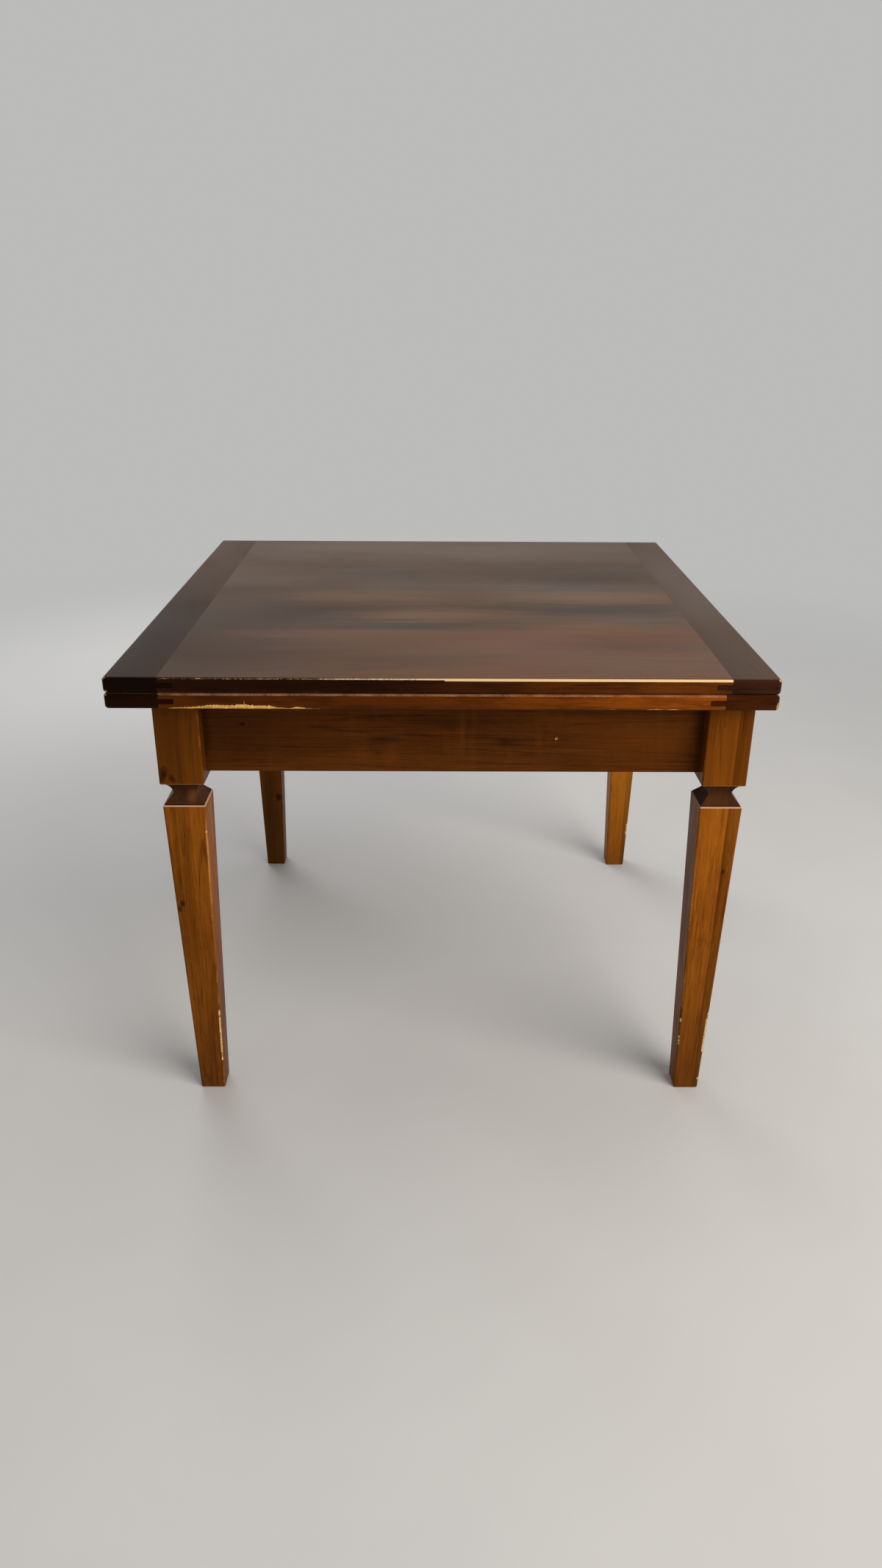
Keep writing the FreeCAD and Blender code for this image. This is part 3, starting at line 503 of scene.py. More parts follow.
def apron_wood(name, along, clouds, raw, knots=(), spots=()):
    """The aprons' dark stain with its ripples across the grain."""
    finish, colour, relief = stained_wood(
        name, along, ((0.018, 0.0054, 0.0014), (0.118, 0.0325, 0.0042)), shift=11.0,
        knots=knots, figure=0.5, fine=0.75, Specular_IOR_Level=0.05, Specular_Tint=amber)
    ripple = finish.cloud([38.0 if axis == along else 6.0 for axis in "XY"] + [9.0], (4, 2, 0),
                          2.0, 0.6)
    colour = finish.blend(finish.spread(ripple, 0.5, 0.78, 0.0, 0.20), colour, (0.14, 0.04, 0.006))
    colour = show_wear(finish, finish.spotted(colour, spots), (0.26, 0.10, 0.025), raw)
    return "apron_walnut", finish.lacquered(colour, relief, clouds, 0.34, 0.5)


apron_face, skin = -0.433, 0.02
side_walnut = apron_wood("Side apron walnut, stained", "Y", (9, 60, 60), (0.60, 0.42, 0.22))
long_walnut = apron_wood(
    "Long apron walnut, stained", "X", (60, 60, 9), (0.50, 0.30, 0.11),
    [((-0.312, apron_face, 0.693), 0.004)],
    [((x, apron_face, z), (reach_x, skin, reach_z), share, tone)
     for x, z, reach_x, reach_z, share, tone in (
         # Painted shade: the front apron's left part, farther from the lamp, is painted darker
         (-0.32, 0.675, 0.22, 0.09, 0.6, (0.021, 0.0062, 0.0018)),
         (0.01, 0.697, 0.20, 0.020, 0.55, (0.020, 0.006, 0.002)),
         (-0.09, 0.668, 0.05, 0.008, 0.6, (0.014, 0.0045, 0.002)),
         (0.10, 0.664, 0.03, 0.012, 0.6, (0.016, 0.005, 0.002)),
         (0.03, 0.672, 0.008, 0.07, 0.4, (0.11, 0.034, 0.006)),
         # Painted light: the front apron's right part, near the lamp, is painted lighter
         (0.30, 0.665, 0.17, 0.065, 0.45, (0.115, 0.03, 0.004)),
         (-0.08, 0.634, 0.26, 0.018, 0.4, (0.095, 0.026, 0.004)))])


def apron_chip(spot, out):
    return 0.0, *chip(spot, out, (0.1775, apron_face, 0.670), 0.0027, 0.0010)


apron_cuts = steps(-0.37, 0.40, 0.012)
beside_chip = steps(0.168, 0.186, 0.0012)
for side, cuts, marks in (
        ("front", [(0, apron_cuts + beside_chip), (2, steps(0.660, 0.680, 0.0012))], apron_chip),
        ("back", [(0, apron_cuts)], None)):
    walnut_piece("apron_" + side, "apron_at_" + side, "base", long_walnut, cuts, 0.0003, 20.0,
                 0.5, marks)
for side in ("left", "right"):
    walnut_piece("apron_" + side, "apron_at_" + side, "base", side_walnut,
                 [(1, steps(-0.4, 0.4, 0.012))], 0.0003, 23.0, 0.5)


# The corner blocks, guide rails with their stops, runners and the cross rail: plain beech, planed
# and left without stain, since nobody sees them. They are glued and screwed on the inside.
def plain_wood(name, along, shift):
    finish, colour, relief = stained_wood(
        name, along, ((0.36, 0.22, 0.115), (0.62, 0.43, 0.26)), shift=shift, fine=0.6,
        Specular_IOR_Level=0.25)
    return "plain_beech", finish.lacquered(colour, relief, (30, 30, 30), 0.55, 0.72, 0.25)


beech_along_x = plain_wood("Plain beech along the table", "X", 31.0)
beech_along_y = plain_wood("Plain beech across the table", "Y", 37.0)
beech_upright = plain_wood("Plain beech, blocks", "Z", 41.0)


def eased(node, name, body, finish):
    """A beech piece whose sharp arrises are taken off with a pass of the plane."""
    work = fresh_copy(node)
    arrises = [edge for edge in work.edges
               if edge.is_manifold and edge.is_convex and edge.calc_face_angle() > 0.6]
    round_off(work, arrises, 0.0006, 2)
    finished_piece(work, name, body, finish, node)


for corner in knocked:
    eased("corner_block_" + corner, "block_behind_leg_" + corner, "base", beech_upright)
for side in ("front", "back"):
    eased("guide_rail_" + side, "guide_rail_at_" + side, "base", beech_along_x)
    eased("runner_" + side, "runner_at_" + side, "lower_top", beech_along_x)
eased("rail_stops", "stops_in_guide_rails", "base", beech_along_x)
eased("cross_rail", "cross_rail_in_middle", "base", beech_along_y)


# The steel that holds the frame together, all zinc plated: a bolt through each corner block into
# its leg, with a washer and a square nut, and countersunk wood screws with slotted heads.
def bare_metal(name, clouds, dark, pale, smooth, dull):
    """Metal that is a little darker and duller in some places than in others."""
    finish = Finish(name, Metallic=1.0)
    tone = finish.cloud((clouds, clouds, clouds), detail=3.0)
    return finish.coat(finish.blend(finish.spread(tone, 0.3, 0.7), dark, pale),
                       finish.spread(tone, 0.3, 0.7, smooth, dull), tone, 0.1)


zinc_steel = "zinc_steel", bare_metal("Zinc plated steel", 260, (0.42, 0.43, 0.44),
                                      (0.60, 0.61, 0.62), 0.28, 0.45)


def set_in(whole, part, place, way, turn=0.0):
    """Put a part, drawn along Z from the origin, into the whole at a place and along a way."""
    aim = Vector(way).to_track_quat("Z", "Y").to_matrix().to_4x4()
    bmesh.ops.transform(part, verts=part.verts, matrix=(
        Matrix.Translation(place) @ aim @ Matrix.Rotation(turn, 4, "Z")))
    bmesh.ops.recalc_face_normals(part, faces=part.faces)
    loose = mesh_of(part, "part")
    whole.from_mesh(loose)
    bpy.data.meshes.remove(loose)


def eased_block(middle, size, radius):
    """A block about a place, with all its edges rounded."""
    part = bmesh.new()
    bmesh.ops.create_cube(part, size=1.0, matrix=Matrix.Translation(middle)
                          @ Matrix.Diagonal((*size, 1)))
    round_off(part, part.edges[:], radius, 2)
    return part


def turned(profile, segments=24, ring=False):
    """A turned part, from pairs of how far along its axis and how far out from it. A ring's
    profile comes back to where it starts."""
    part = bmesh.new()
    points = [part.verts.new((out, 0, along)) for along, out in profile]
    if ring:
        points.append(points[0])
    lines = [part.edges.new(pair) for pair in zip(points, points[1:])]
    bmesh.ops.spin(part, geom=part.verts[:] + lines, axis=(0, 0, 1), cent=(0, 0, 0),
                   angle=2 * math.pi, steps=segments, use_merge=True)
    bmesh.ops.remove_doubles(part, verts=part.verts, dist=1e-6)
    return part


def wood_screw(length, radius=0.002, head=0.004, head_height=0.0024):
    """A countersunk screw with its head at the origin and a slot across the head."""
    part = turned([(0, 0), (0, head * 0.97), (0.0002, head), (head_height, radius),
                   (length - 3 * radius, radius), (length, 0)])
    slot = head * 0.13
    cut_across(part, 0, [-slot, slot])
    floor = [face for face in part.faces
             if all(abs(corner.co.z) < 1e-6 and abs(corner.co.x) < slot + 1e-6
                    for corner in face.verts)]
    sunk = [piece for piece in bmesh.ops.extrude_face_region(part, geom=floor)["geom"]
            if isinstance(piece, bmesh.types.BMVert)]
    bmesh.ops.delete(part, geom=floor, context="FACES")
    bmesh.ops.scale(part, verts=sunk, vec=(1, 0.7, 1))
    bmesh.ops.translate(part, verts=sunk, vec=(0, 0, head * 0.2))
    return part


def screwed_in(name, body, finish, node, screws, **size):
    """All screws of one node, given as where their heads are and which way they go."""
    whole = bmesh.new()
    for number, (place, way, length) in enumerate(screws):
        set_in(whole, wood_screw(length, **size), place, way, turn=0.9 * number)
    finished_piece(whole, name, body, finish, node)


apron_inside = 0.411
rail_inside = 0.383
block_screw_height = 0.660
bolt_length, bolt_deep, washer_seat, nut_seat = 0.0725, 0.030, 0.032, 0.0335
nut_across, nut_thick = 0.010, 0.005
rod = [(0, 0), (0, 0.0026), (0.0004, 0.003), (0.058, 0.003)]
for number in range(14):
    rod += [(0.0585 + 0.001 * number, 0.00255), (0.059 + 0.001 * number, 0.003)]
rod += [(bolt_length, 0.0024), (bolt_length, 0)]
washer = [(0, 0.0032), (0, 0.0078), (0.0002, 0.008), (0.0013, 0.008), (0.0015, 0.0078),
          (0.0015, 0.0032)]
bolts_whole = bmesh.new()
block_screws = []
for way_x in (-1, 1):
    for way_y in (-1, 1):
        inwards = Vector((-way_x, -way_y, 0)).normalized()
        leg_corner = Vector((frame_middle + way_x * (leg_reach - block_half),
                             way_y * (leg_reach - block_half), block_screw_height))
        set_in(bolts_whole, turned(rod), leg_corner - inwards * bolt_deep, inwards)
        set_in(bolts_whole, turned(washer, ring=True), leg_corner + inwards * washer_seat, inwards)
        nut = eased_block((0, 0, nut_thick / 2), (nut_across, nut_across, nut_thick), 0.0005)
        set_in(bolts_whole, nut, leg_corner + inwards * nut_seat, inwards)
        for over, back, way in ((0.343544, 0.397, (0, way_y, 0)),
                                (0.397, 0.343544, (way_x, 0, 0))):
            head = (frame_middle + way_x * over, way_y * back, block_screw_height)
            block_screws.append((head, way, 0.029))
finished_piece(bolts_whole, "corner_bolts_with_nuts", "base", zinc_steel, "corner_bolts")
screwed_in("screws_in_corner_blocks", "base", zinc_steel, "corner_block_screws", block_screws)
screwed_in("screws_in_guide_rails", "base", zinc_steel, "guide_rail_screws",
           [((frame_middle + 0.780 * share, side * rail_inside, 0.7072), (0, side, 0), 0.043)
            for side in (-1, 1) for share in (-0.42, -0.16, 0.16, 0.42)])
screwed_in("screws_in_runners", "lower_top", zinc_steel, "runner_screws",
           [((0.24835 + 0.2594 * share, side * 0.371, 0.717), (0, 0, 1), 0.039)
            for side in (-1, 1) for share in (-0.4, -0.14, 0.14, 0.4)])


# Felt strips glued along the side aprons and the cross rail, for the leaf to slide on, cut from
# brown wool felt 1.5 mm thick.
felt = Finish("Brown felt", Sheen_Weight=0.4, Sheen_Roughness=0.6)
felt_fuzz = felt.cloud((900, 900, 900), detail=3.0, rough=0.7)
brown_felt = "brown_felt", felt.coat(
    felt.blend(felt_fuzz, (0.05, 0.028, 0.016), (0.13, 0.08, 0.05)),
    felt.spread(felt_fuzz, 0.0, 1.0, 0.85, 1.0), felt_fuzz, 0.6, 0.0006)


def fuzzy(work, most):
    """Draw a felt's surface in here and there, by up to so much."""
    work.normal_update()
    outwards = [(corner, corner.normal.copy()) for corner in work.verts]
    for corner, out in outwards:
        corner.co -= out * most * (0.5 + 0.5 * noise.noise(corner.co * 700))


for node, lies_on in (("felt_left", "apron_at_left"), ("felt_right", "apron_at_right"),
                      ("felt_centre", "cross_rail_in_middle")):
    low, high = (Vector(corner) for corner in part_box(node))
    width, length, thick = high - low
    work = eased_block((low + high) / 2, (width, length, thick), 0.0004)
    for axis in (0, 1):
        cut_across(work, axis, steps(low[axis], high[axis], 0.004))
    fuzzy(work, 0.00015)
    strip = finished_piece(work, node + "_strip", "base", brown_felt, node)


# The leaves: each a panel of boards glued edge to edge, their grain along the opening, and a
# batten across either end whose tongue shows as a darker slip in the panel's front and back edge.
leaf_top, leaf_front, lower_foot = 0.79, -0.5, 0.741


def leaf_edge(finish, colour, left, right):
    """The front and back edges of a leaf, which are darker towards the left, partly in their stain
    and partly as painted shade away from the lamp on the right.
    """
    edge = finish.spread(finish.sum("ABSOLUTE", finish.axes[1]), 0.4950, 0.4985)
    side = finish.blend(finish.along(0, -0.15, 0.45), left, right)
    fibre = finish.cloud((3, 40, 900), detail=2.0, rough=0.7)
    stain = finish.cloud((15, 15, 110), (3, 0, 0), 3.0, 0.6)
    shade = finish.sum("ADD", finish.product(fibre, 0.3), finish.product(stain, 0.7))
    side = finish.blend(finish.spread(shade, 0.40, 0.66, 0.0, 0.55), side,
                        tuple(0.12 * part for part in left))
    return finish.blend(edge, colour, side)


def on_top(spots):
    """Spots on the closed leaf's top, which don't reach through to its underside."""
    return [((x, y, leaf_top), (reach_x, reach_y, skin), share, tone)
            for x, y, reach_x, reach_y, share, tone in spots]


def batten_wood(name, tones, edge_left, edge_right, spots=()):
    finish, colour, relief = stained_wood(name, "Y", tones, shift=57.0, figure=0.35,
                                          fine=0.45, Specular_IOR_Level=0.07,
                                          Specular_Tint=amber)
    colour = finish.spotted(colour, on_top(spots))
    colour = leaf_edge(finish, colour, edge_left, edge_right)
    colour = show_wear(finish, colour, (0.16, 0.06, 0.022), (0.56, 0.31, 0.11), 0.8)
    return "batten_walnut", finish.lacquered(colour, relief, (7, 3, 7), 0.28, 0.42, 0.1, 1.0)


def panel_wood(name, tones, edge_left, edge_right, rubbed, spots=()):
    """A panel of three boards, the front one reddest and the middle one a little warm."""
    finish, colour, relief = stained_wood(name, "X", tones, shift=71.0, figure=0.28,
                                          fine=0.75, Specular_IOR_Level=0.1,
                                          Specular_Tint=amber)
    front_joint = (-0.2412, -0.2398)
    colour = finish.blend(finish.along(1, *front_joint, 0.55, 0.0), colour,
                          (0.135, 0.056, 0.025))
    middle_board = finish.product(finish.along(1, *front_joint),
                                  finish.along(1, 0.014, 0.034, 0.16, 0.0))
    colour = finish.blend(middle_board, colour, (0.115, 0.055, 0.028))
    colour = finish.spotted(colour, on_top(spots), finish.shaken((5, 42, 0), (0.30, 0.07, 0.0)))
    colour = leaf_edge(finish, colour, edge_left, edge_right)
    colour = show_wear(finish, colour, rubbed, (0.95, 0.53, 0.14), fibres=(45, 700, 900))
    return "panel_walnut", finish.lacquered(colour, relief, (3, 6, 6), 0.28, 0.42, 0.1, 1.0)


lower_batten = batten_wood(
    "Lower batten walnut", ((0.028, 0.0145, 0.0085), (0.086, 0.045, 0.027)),
    (0.0095, 0.0018, 0.0003), (0.048, 0.0105, 0.0015))
upper_batten = batten_wood(
    "Upper batten walnut", ((0.026, 0.0125, 0.006), (0.078, 0.039, 0.021)),
    (0.0034, 0.0011, 0.0006), (0.034, 0.0110, 0.005),
    # Painted shade darkens the left upper batten's top, and painted light makes the right one's
    # lighter and greyer
    ((-0.46, -0.35, 0.12, 0.60, 0.85, (0.013, 0.0058, 0.003)),
     (0.46, 0.05, 0.12, 0.9, 0.75, (0.098, 0.067, 0.049))))
# The lower panel's pinkish rubbed tone also serves as the painted highlight on its top front arris
lower_board = panel_wood(
    "Lower panel walnut", ((0.037, 0.0195, 0.0100), (0.118, 0.061, 0.032)),
    (0.070, 0.0155, 0.0010), (0.215, 0.048, 0.0020), (0.40, 0.17, 0.09))
dim, warm, red = (0.022, 0.0140, 0.0085), (0.175, 0.088, 0.038), (0.150, 0.052, 0.027)
# The upper panel's pale cream rubbed tone also serves as the painted highlight on its front arris
upper_board = panel_wood(
    "Upper panel walnut", ((0.036, 0.020, 0.011), (0.112, 0.062, 0.034)),
    (0.0125, 0.0026, 0.0006), (0.115, 0.027, 0.0020), (0.90, 0.62, 0.33),
    # The first spot is painted shade over the left half of the top, farther from the lamp
    ((-0.44, -0.28, 0.46, 0.55, 0.7, (0.030, 0.0140, 0.0065)),
     (-0.40, -0.40, 0.34, 0.26, 0.4, dim),
     (0.05, 0.38, 0.50, 0.24, 0.32, (0.122, 0.084, 0.056)),
     (0.30, 0.150, 0.34, 0.15, 0.55, dim), (-0.10, 0.16, 0.30, 0.12, 0.40, dim),
     (0.285, -0.105, 0.36, 0.085, 0.65, dim), (0.00, -0.214, 0.32, 0.055, 0.55, dim),
     (-0.25, -0.12, 0.28, 0.14, 0.45, dim), (-0.153, -0.015, 0.24, 0.080, 0.38, warm),
     (0.300, -0.020, 0.32, 0.075, 0.45, warm), (-0.005, -0.150, 0.20, 0.065, 0.42, warm),
     (0.230, -0.225, 0.30, 0.06, 0.38, warm), (0.200, -0.31, 0.30, 0.10, 0.45, red),
     (0.058, -0.435, 0.20, 0.05, 0.35, red), (-0.21, -0.27, 0.22, 0.04, 0.4, red),
     (0.300, -0.330, 0.22, 0.07, 0.38, dim), (-0.06, -0.41, 0.22, 0.07, 0.35, dim)))

# How high the raw wood shows above the lower leaf's bottom front arris, from place to place
broken_away = [(-0.408, 0.0), (-0.406, 0.0016), (-0.395, 0.0027), (-0.377, 0.0034),
               (-0.368, 0.0042), (-0.355, 0.0052), (-0.349, 0.0069), (-0.331, 0.0076),
               (-0.320, 0.0066), (-0.309, 0.0068), (-0.302, 0.0084), (-0.287, 0.0073),
               (-0.276, 0.0064), (-0.262, 0.0060), (-0.2575, 0.0068), (-0.253, 0.0054),
               (-0.247, 0.0034), (-0.240, 0.0032), (-0.229, 0.0019), (-0.222, 0.0036),
               (-0.2147, 0.0046), (-0.209, 0.0034), (-0.2038, 0.0023), (-0.193, 0.0012),
               (-0.184, 0.0010), (-0.182, 0.0), (0.240, 0.0), (0.250, 0.0011), (0.262, 0.0004),
               (0.298, 0.0003), (0.306, 0.0018), (0.318, 0.0024), (0.330, 0.0010),
               (0.342, 0.0028), (0.352, 0.0009), (0.364, 0.0)]


def part_way(rows, place):
    """What a list of places and amounts gives at a place between two of them."""
    for (start, low), (end, high) in zip(rows, rows[1:]):
        if start <= place < end:
            return low + (high - low) * (place - start) / (end - start)
    return 0.0


def splinters(spot, out):
    """The lower leaf's marks: the splintered arris, and a thin painted highlight on its top front
    arris.
    """
    if spot.y > leaf_front + 0.0065:
        return unmarked
    # A thin painted highlight along the top front arris, in the rubbed tone
    if spot.z > 0.755:
        line = 0.62 if spot.z > 0.7625 else 0.0
        return line + 0.2 * noise.noise(spot * 60), 0.0, Vector()
    tall = part_way(broken_away, spot.x)
    tall *= 1.0 + 0.35 * noise.noise(Vector((spot.x * 420, 3, 1)))
    lost = lower_foot + tall - spot.z
    if lost <= 0 or tall < 0.0003:
        return unmarked
    torn = 0.0006 * noise.noise(Vector((spot.x * 160, spot.y * 900, spot.z * 900)))
    broken_face = leaf_front + 0.42 * lost + 0.0006 + torn
    return 0.0, 1.0, Vector((0, max(0.0004 + torn, broken_face - spot.y), 0))


# How far the upper leaf's top front arris is rubbed and lit by a painted highlight, from place to
# place
rubbed_and_highlit = [(-0.43, 0.37), (-0.19, 0.50), (-0.05, 0.72), (0.03, 1.05), (0.43, 1.05)]


def shiny_arris(spot, out):
    """The upper leaf's top front arris, rubbed to pale wood towards the right, with a painted
    highlight over the rub.
    """
    bottom = 0.7860 if spot.x > 0.0 else 0.7875
    if spot.y > leaf_front + 0.0045 or not bottom < spot.z < leaf_top - 0.0005:
        return unmarked
    rub = part_way(rubbed_and_highlit, spot.x)
    if not rub:
        return unmarked
    patchy = noise.noise(Vector((spot.x * 11, 2, 0))) \
        + 0.7 * noise.noise(Vector((spot.x * 60, spot.z * 300, 5)))
    return min(1.0, rub + 0.13 * patchy), 0.0, Vector()


front_cuts = steps(-0.42, 0.42, 0.0025)
beside_front = (1, [-0.4925, -0.489, 0.489, 0.4925])
lower_cuts = [(0, front_cuts + steps(-0.412, -0.18, 0.0013) + steps(0.24, 0.37, 0.0013)),
              (2, steps(0.7412, 0.7502, 0.0007)), beside_front]
walnut_piece("lower_panel", "panel_of_lower_leaf", "lower_top", lower_board, lower_cuts,
             0.0006, 41.0, 0.4, splinters)
walnut_piece("upper_panel", "panel_of_upper_leaf", "upper_top", upper_board,
             [(0, front_cuts), beside_front], 0.0006, 47.0, 0.4, shiny_arris)
batten_chips = {
    "upper_right": [((0.4960, -0.4975, 0.7885), 0.0032, 0.0007)],
    "upper_left": [((-0.4985, -0.497, 0.7885), 0.0026, 0.0006),
                   ((-0.4965, -0.4995, 0.7685), 0.0020, 0.0005)],
    "lower_right": [((0.4960, -0.4985, 0.7445), 0.0028, 0.0006)],
    "lower_left": [((-0.4985, -0.498, 0.7630), 0.0020, 0.0005)],
}


def corner_chips(batten):
    """The rule by which a batten's corners are chipped."""
    def marks(spot, out):
        found = [chip(spot, out, *one) for one in batten_chips[batten]]
        return 0.0, max(raw for raw, shift in found), sum((shift for raw, shift in found),
                                                          Vector())
    return marks


side_cuts = steps(-0.49, 0.49, 0.006)
near_corner = steps(-0.4995, -0.488, 0.0012)
for seed, batten in enumerate(batten_chips):
    leaf, hand = batten.split("_")
    edge, inwards = (0.49835, -1) if hand == "right" else (-0.50165, 1)
    beside = (0, [edge + inwards * 0.0075, edge + inwards * 0.011])
    walnut_piece("%s_batten_%s" % (leaf, hand), "%s_batten_at_%s" % (leaf, hand),
                 leaf + "_top", upper_batten if leaf == "upper" else lower_batten,
                 [(1, side_cuts + near_corner), beside, beside_front], 0.0006,
                 53.0 + 5 * seed, 0.3, corner_chips(batten))


# Four felt dots, punched from thin brown felt and stuck on the lower leaf's battens near its
# corners, which keep the two leaves apart.
dots_low, dots_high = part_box("leaf_pads")
dot_radius, dot_thick = 0.006, 0.0007
for side_x, dot_x in (("left", dots_low[0] + dot_radius), ("right", dots_high[0] - dot_radius)):
    for side_y, dot_y in (("front", dots_low[1] + dot_radius),
                          ("back", dots_high[1] - dot_radius)):
        dot = turned([(0, 0), (0, dot_radius * 0.99), (0.0003, dot_radius), (0.0006, 0.0057),
                      (dot_thick, 0.0052), (dot_thick, 0.003), (dot_thick, 0)], 32)
        work = bmesh.new()
        set_in(work, dot, (dot_x, dot_y, dots_low[2]), (0, 0, 1))
        fuzzy(work, 0.00008)
        pad = finished_piece(work, "felt_dot_%s_%s" % (side_y, side_x), "lower_top", brown_felt,
                             "leaf_pads")


# The three brass butt hinges on the right-hand edge: a plate let into each leaf, three knuckles
# about one pin in the hollow between the leaves, and three slotted screws in every plate.
hinge_brass = "hinge_brass", bare_metal("Hinge brass", 180, (0.40, 0.265, 0.105),
                                        (0.50, 0.34, 0.14), 0.26, 0.42)
hinge_x, hinge_z = 0.49865, 0.7655
plate_face, plate_back = 0.49835, 0.49635
hinge_half, hinge_high = 0.035, 0.017
hinge_middles = {"front": -0.380, "middle": 0.0, "back": 0.380}
hinge_screw_places = [-0.0252, 0.0, 0.0252]
hinge_screw_drop = 0.010
knuckle = 2 * hinge_half / 3
barrel_radius, bore, pin_radius, screw_hole = 0.003, 0.0016, 0.0015, 0.0031


def hinge_leaf(middle, up, own):
    """One plate, up or down from the pin, with its own knuckles, counted from the front."""
    work = bmesh.new()
    rim = [(hinge_half, 0), (-hinge_half, 0)]
    for number in range(3):
        reach = 0.0152 if number in own else 0.0134
        rim += [(-hinge_half + knuckle * number, reach),
                (-hinge_half + knuckle * (number + 1), reach)]
    corners = [work.verts.new((plate_face, middle + along, hinge_z + up * (hinge_high - reach)))
               for along, reach in rim]
    work.faces.new(corners)
    bmesh.ops.bevel(work, geom=corners[:2], offset=0.002, segments=4, profile=0.5,
                    affect="VERTICES", material=-1)
    bmesh.ops.delete(work, geom=work.faces[:], context="FACES_ONLY")
    for along in hinge_screw_places:
        bmesh.ops.create_circle(
            work, cap_ends=False, segments=24, radius=screw_hole,
            matrix=Matrix.Translation((plate_face, middle + along,
                                       hinge_z + up * hinge_screw_drop))
            @ Matrix.Rotation(math.pi / 2, 4, "Y"))
    bmesh.ops.triangle_fill(work, use_beauty=True, edges=work.edges[:], normal=(1, 0, 0))
    bmesh.ops.solidify(work, geom=work.faces[:], thickness=plate_face - plate_back)
    bmesh.ops.recalc_face_normals(work, faces=work.faces)
    for along in hinge_screw_places:
        hole = Vector((plate_back, middle + along, hinge_z + up * hinge_screw_drop))
        inner = [corner for corner in work.verts if corner.co.x < plate_face - 0.001
                 and (corner.co - hole).length < screw_hole + 0.0003]
        bmesh.ops.scale(work, verts=inner, vec=(1, 0.52, 0.52), space=Matrix.Translation(-hole))
    for number in own:
        start = middle - hinge_half + knuckle * number + 0.0001
        length = knuckle - 0.0002
        barrel = [(0, bore), (0, 0.0027), (0.0003, barrel_radius),
                  (length - 0.0003, barrel_radius), (length, 0.0027), (length, bore)]
        set_in(work, turned(barrel, ring=True), (hinge_x, start, hinge_z), (0, 1, 0))
    return work


pins_whole = bmesh.new()
for place, middle in hinge_middles.items():
    for leaf, up, own in (("lower", -1, (0, 2)), ("upper", 1, (1,))):
        finished_piece(hinge_leaf(middle, up, own), "hinge_%s_leaf_%s" % (leaf, place),
                       leaf + "_top", hinge_brass, "hinge_plate_%s_%s" % (leaf, place))
    pin = turned([(0, 0), (0, 0.0010), (0.0003, pin_radius), (0.0697, pin_radius),
                  (0.07, 0.0010), (0.07, 0)])
    set_in(pins_whole, pin, (hinge_x, middle - hinge_half, hinge_z), (0, 1, 0))
finished_piece(pins_whole, "hinge_pins_of_three", "lower_top", hinge_brass, "hinge_pins")
for leaf, up in (("lower", -1), ("upper", 1)):
    screwed_in("screws_in_%s_hinge_leaves" % leaf, leaf + "_top", hinge_brass,
               "hinge_screws_" + leaf,
               [((plate_face, middle + along, hinge_z + up * hinge_screw_drop), (-1, 0, 0), 0.018)
                for middle in hinge_middles.values() for along in hinge_screw_places],
               radius=0.0015, head=0.003, head_height=0.0015)


# The room that the table is photographed in: a plain pale floor and a pale surround, one large
# soft lamp to the front right, most of whose glare on the lacquer is kept off, a weak one
# overhead, and a weak one behind.
surround = (0.50, 0.50, 0.495)
ground = Finish("Pale floor", Roughness=0.7)
ground_tone = ground.cloud((3, 3, 3), detail=4.0)
floor_material = ground.coat(
    ground.blend(ground.spread(ground_tone, 0.3, 0.7), (0.555, 0.545, 0.53), (0.575, 0.565, 0.55)),
    ground.spread(ground_tone, 0.3, 0.7, 0.6, 0.75))
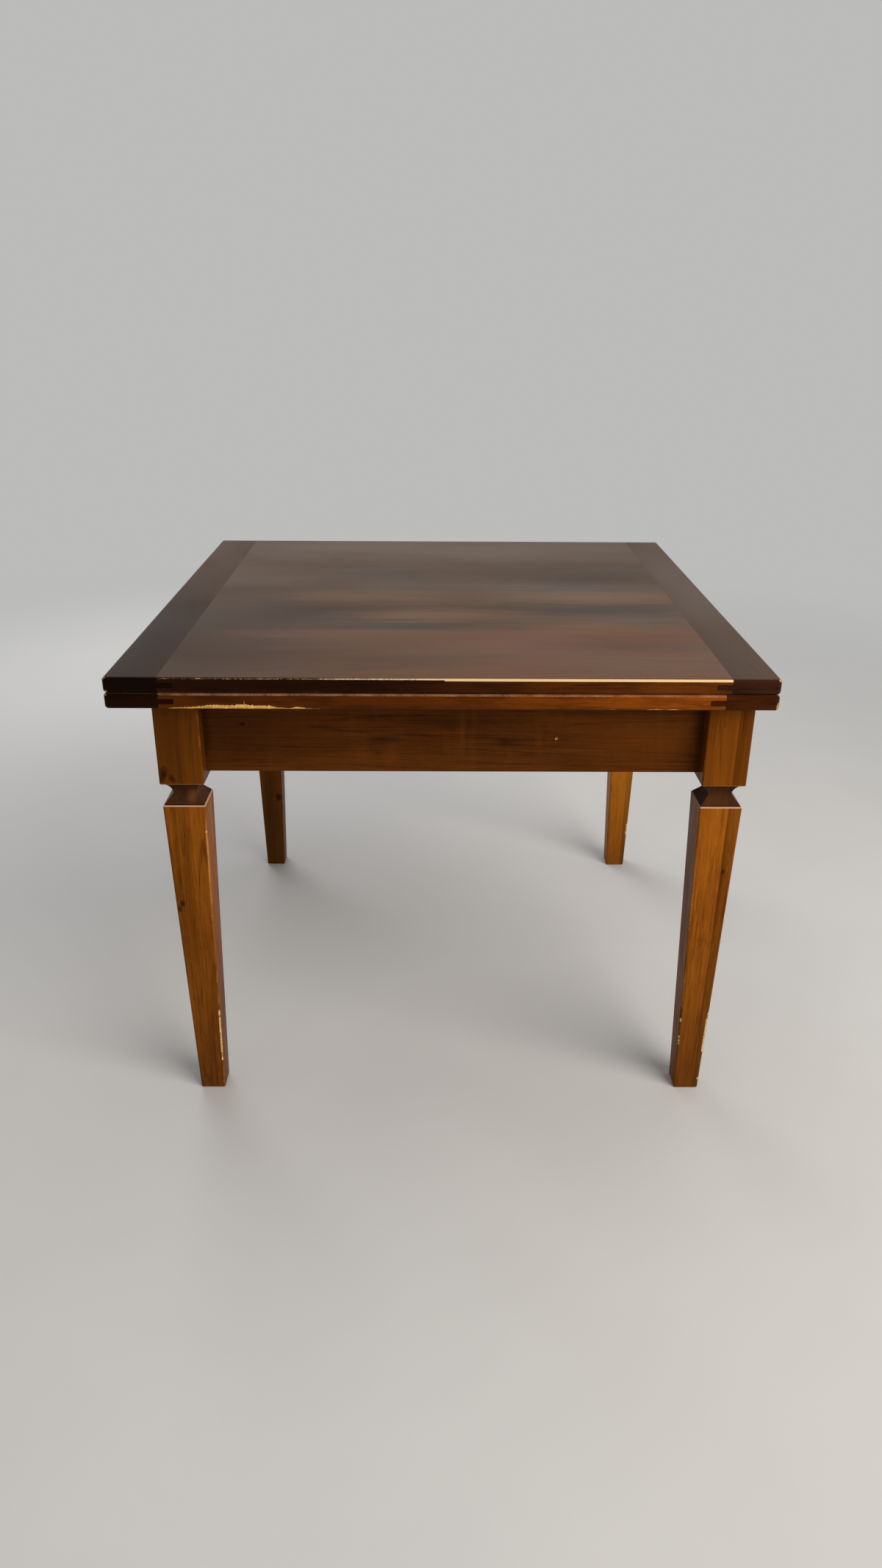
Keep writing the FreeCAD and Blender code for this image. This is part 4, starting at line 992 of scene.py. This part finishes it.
# Far from the table the floor goes over into the surround without a line
rays = ground.add("ShaderNodeLightPath", {}).outputs
shown = ground.sum("MAXIMUM", rays["Is Camera Ray"], rays["Is Glossy Ray"])
fade = ground.product(shown, ground.spread(ground.length(ground.place), 0.9, 4.0))
glow = ground.add("ShaderNodeEmission", {"Color": (*surround, 1), "Strength": 1.0})
both = ground.add("ShaderNodeMixShader", {0: fade, 1: ground.shader.outputs[0],
                                          2: glow.outputs[0]})
ground.tree.links.new(both.outputs[0], ground.tree.nodes["Material Output"].inputs["Surface"])
floor_mesh = bmesh.new()
bmesh.ops.create_circle(floor_mesh, cap_ends=True, segments=64, radius=14)
floor = placed("floor", mesh_of(floor_mesh, "floor"))
floor.data.materials.append(floor_material)


def soft_lamp(name, place, aim, size, power, colour, glare=True):
    """A round, soft lamp that points at a place."""
    lamp = bpy.data.lights.new(name, "AREA")
    lamp.shape = "DISK"
    lamp.size = size
    lamp.energy = power
    lamp.color = colour
    stand = placed(name, lamp)
    stand.location = place
    stand.rotation_euler = (Vector(aim) - Vector(place)).to_track_quat("-Z", "Y").to_euler()
    stand.visible_glossy = glare


for name, power, glare in (("key_lamp", 160, False), ("key_lamp_sheen", 16, True)):
    soft_lamp(name, (2.335, -2.575, 2.40), (0.1, -0.2, 0.55), 3.2, power, (1.0, 0.95, 0.88),
              glare)
soft_lamp("top_lamp", (0.3, 0.4, 3.4), (0, 0, 0.7), 2.6, 19, (0.97, 0.98, 1.0))
soft_lamp("back_lamp", (-1.4, 2.9, 2.0), (0, 0, 0.5), 2.6, 62, (0.98, 0.98, 1.0), glare=False)

world = bpy.data.worlds.new("Pale surround")
bpy.context.scene.world = world
world.use_nodes = True
sky = world.node_tree
background = sky.nodes["Background"]
path = add_node(sky, "ShaderNodeLightPath", {}).outputs
seen = path["Is Camera Ray"]
for ray in ("Is Glossy Ray", "Is Transmission Ray"):
    seen = add_node(sky, "ShaderNodeMath", {0: seen, 1: path[ray]},
                    operation="MAXIMUM").outputs[0]
tone = add_node(sky, "ShaderNodeMix", {0: seen, 6: (0.26, 0.265, 0.27, 1), 7: (*surround, 1)},
                data_type="RGBA")
sky.links.new(tone.outputs[2], background.inputs["Color"])
background.inputs["Strength"].default_value = 1.0

camera_data = bpy.data.cameras.new("camera")
camera_data.sensor_width = 36
camera_data.lens = 25.041
camera = placed("camera", camera_data)
camera.matrix_world = (Matrix.Translation((-0.01482, -2.02153, 1.29601))
                       @ Matrix.Rotation(math.radians(-0.4374), 4, "Z")
                       @ Matrix.Rotation(math.radians(90 - 23.9046), 4, "X")
                       @ Matrix.Rotation(math.radians(0.3515), 4, "Z"))
bpy.context.scene.camera = camera
bpy.context.scene.view_settings.view_transform = "Standard"
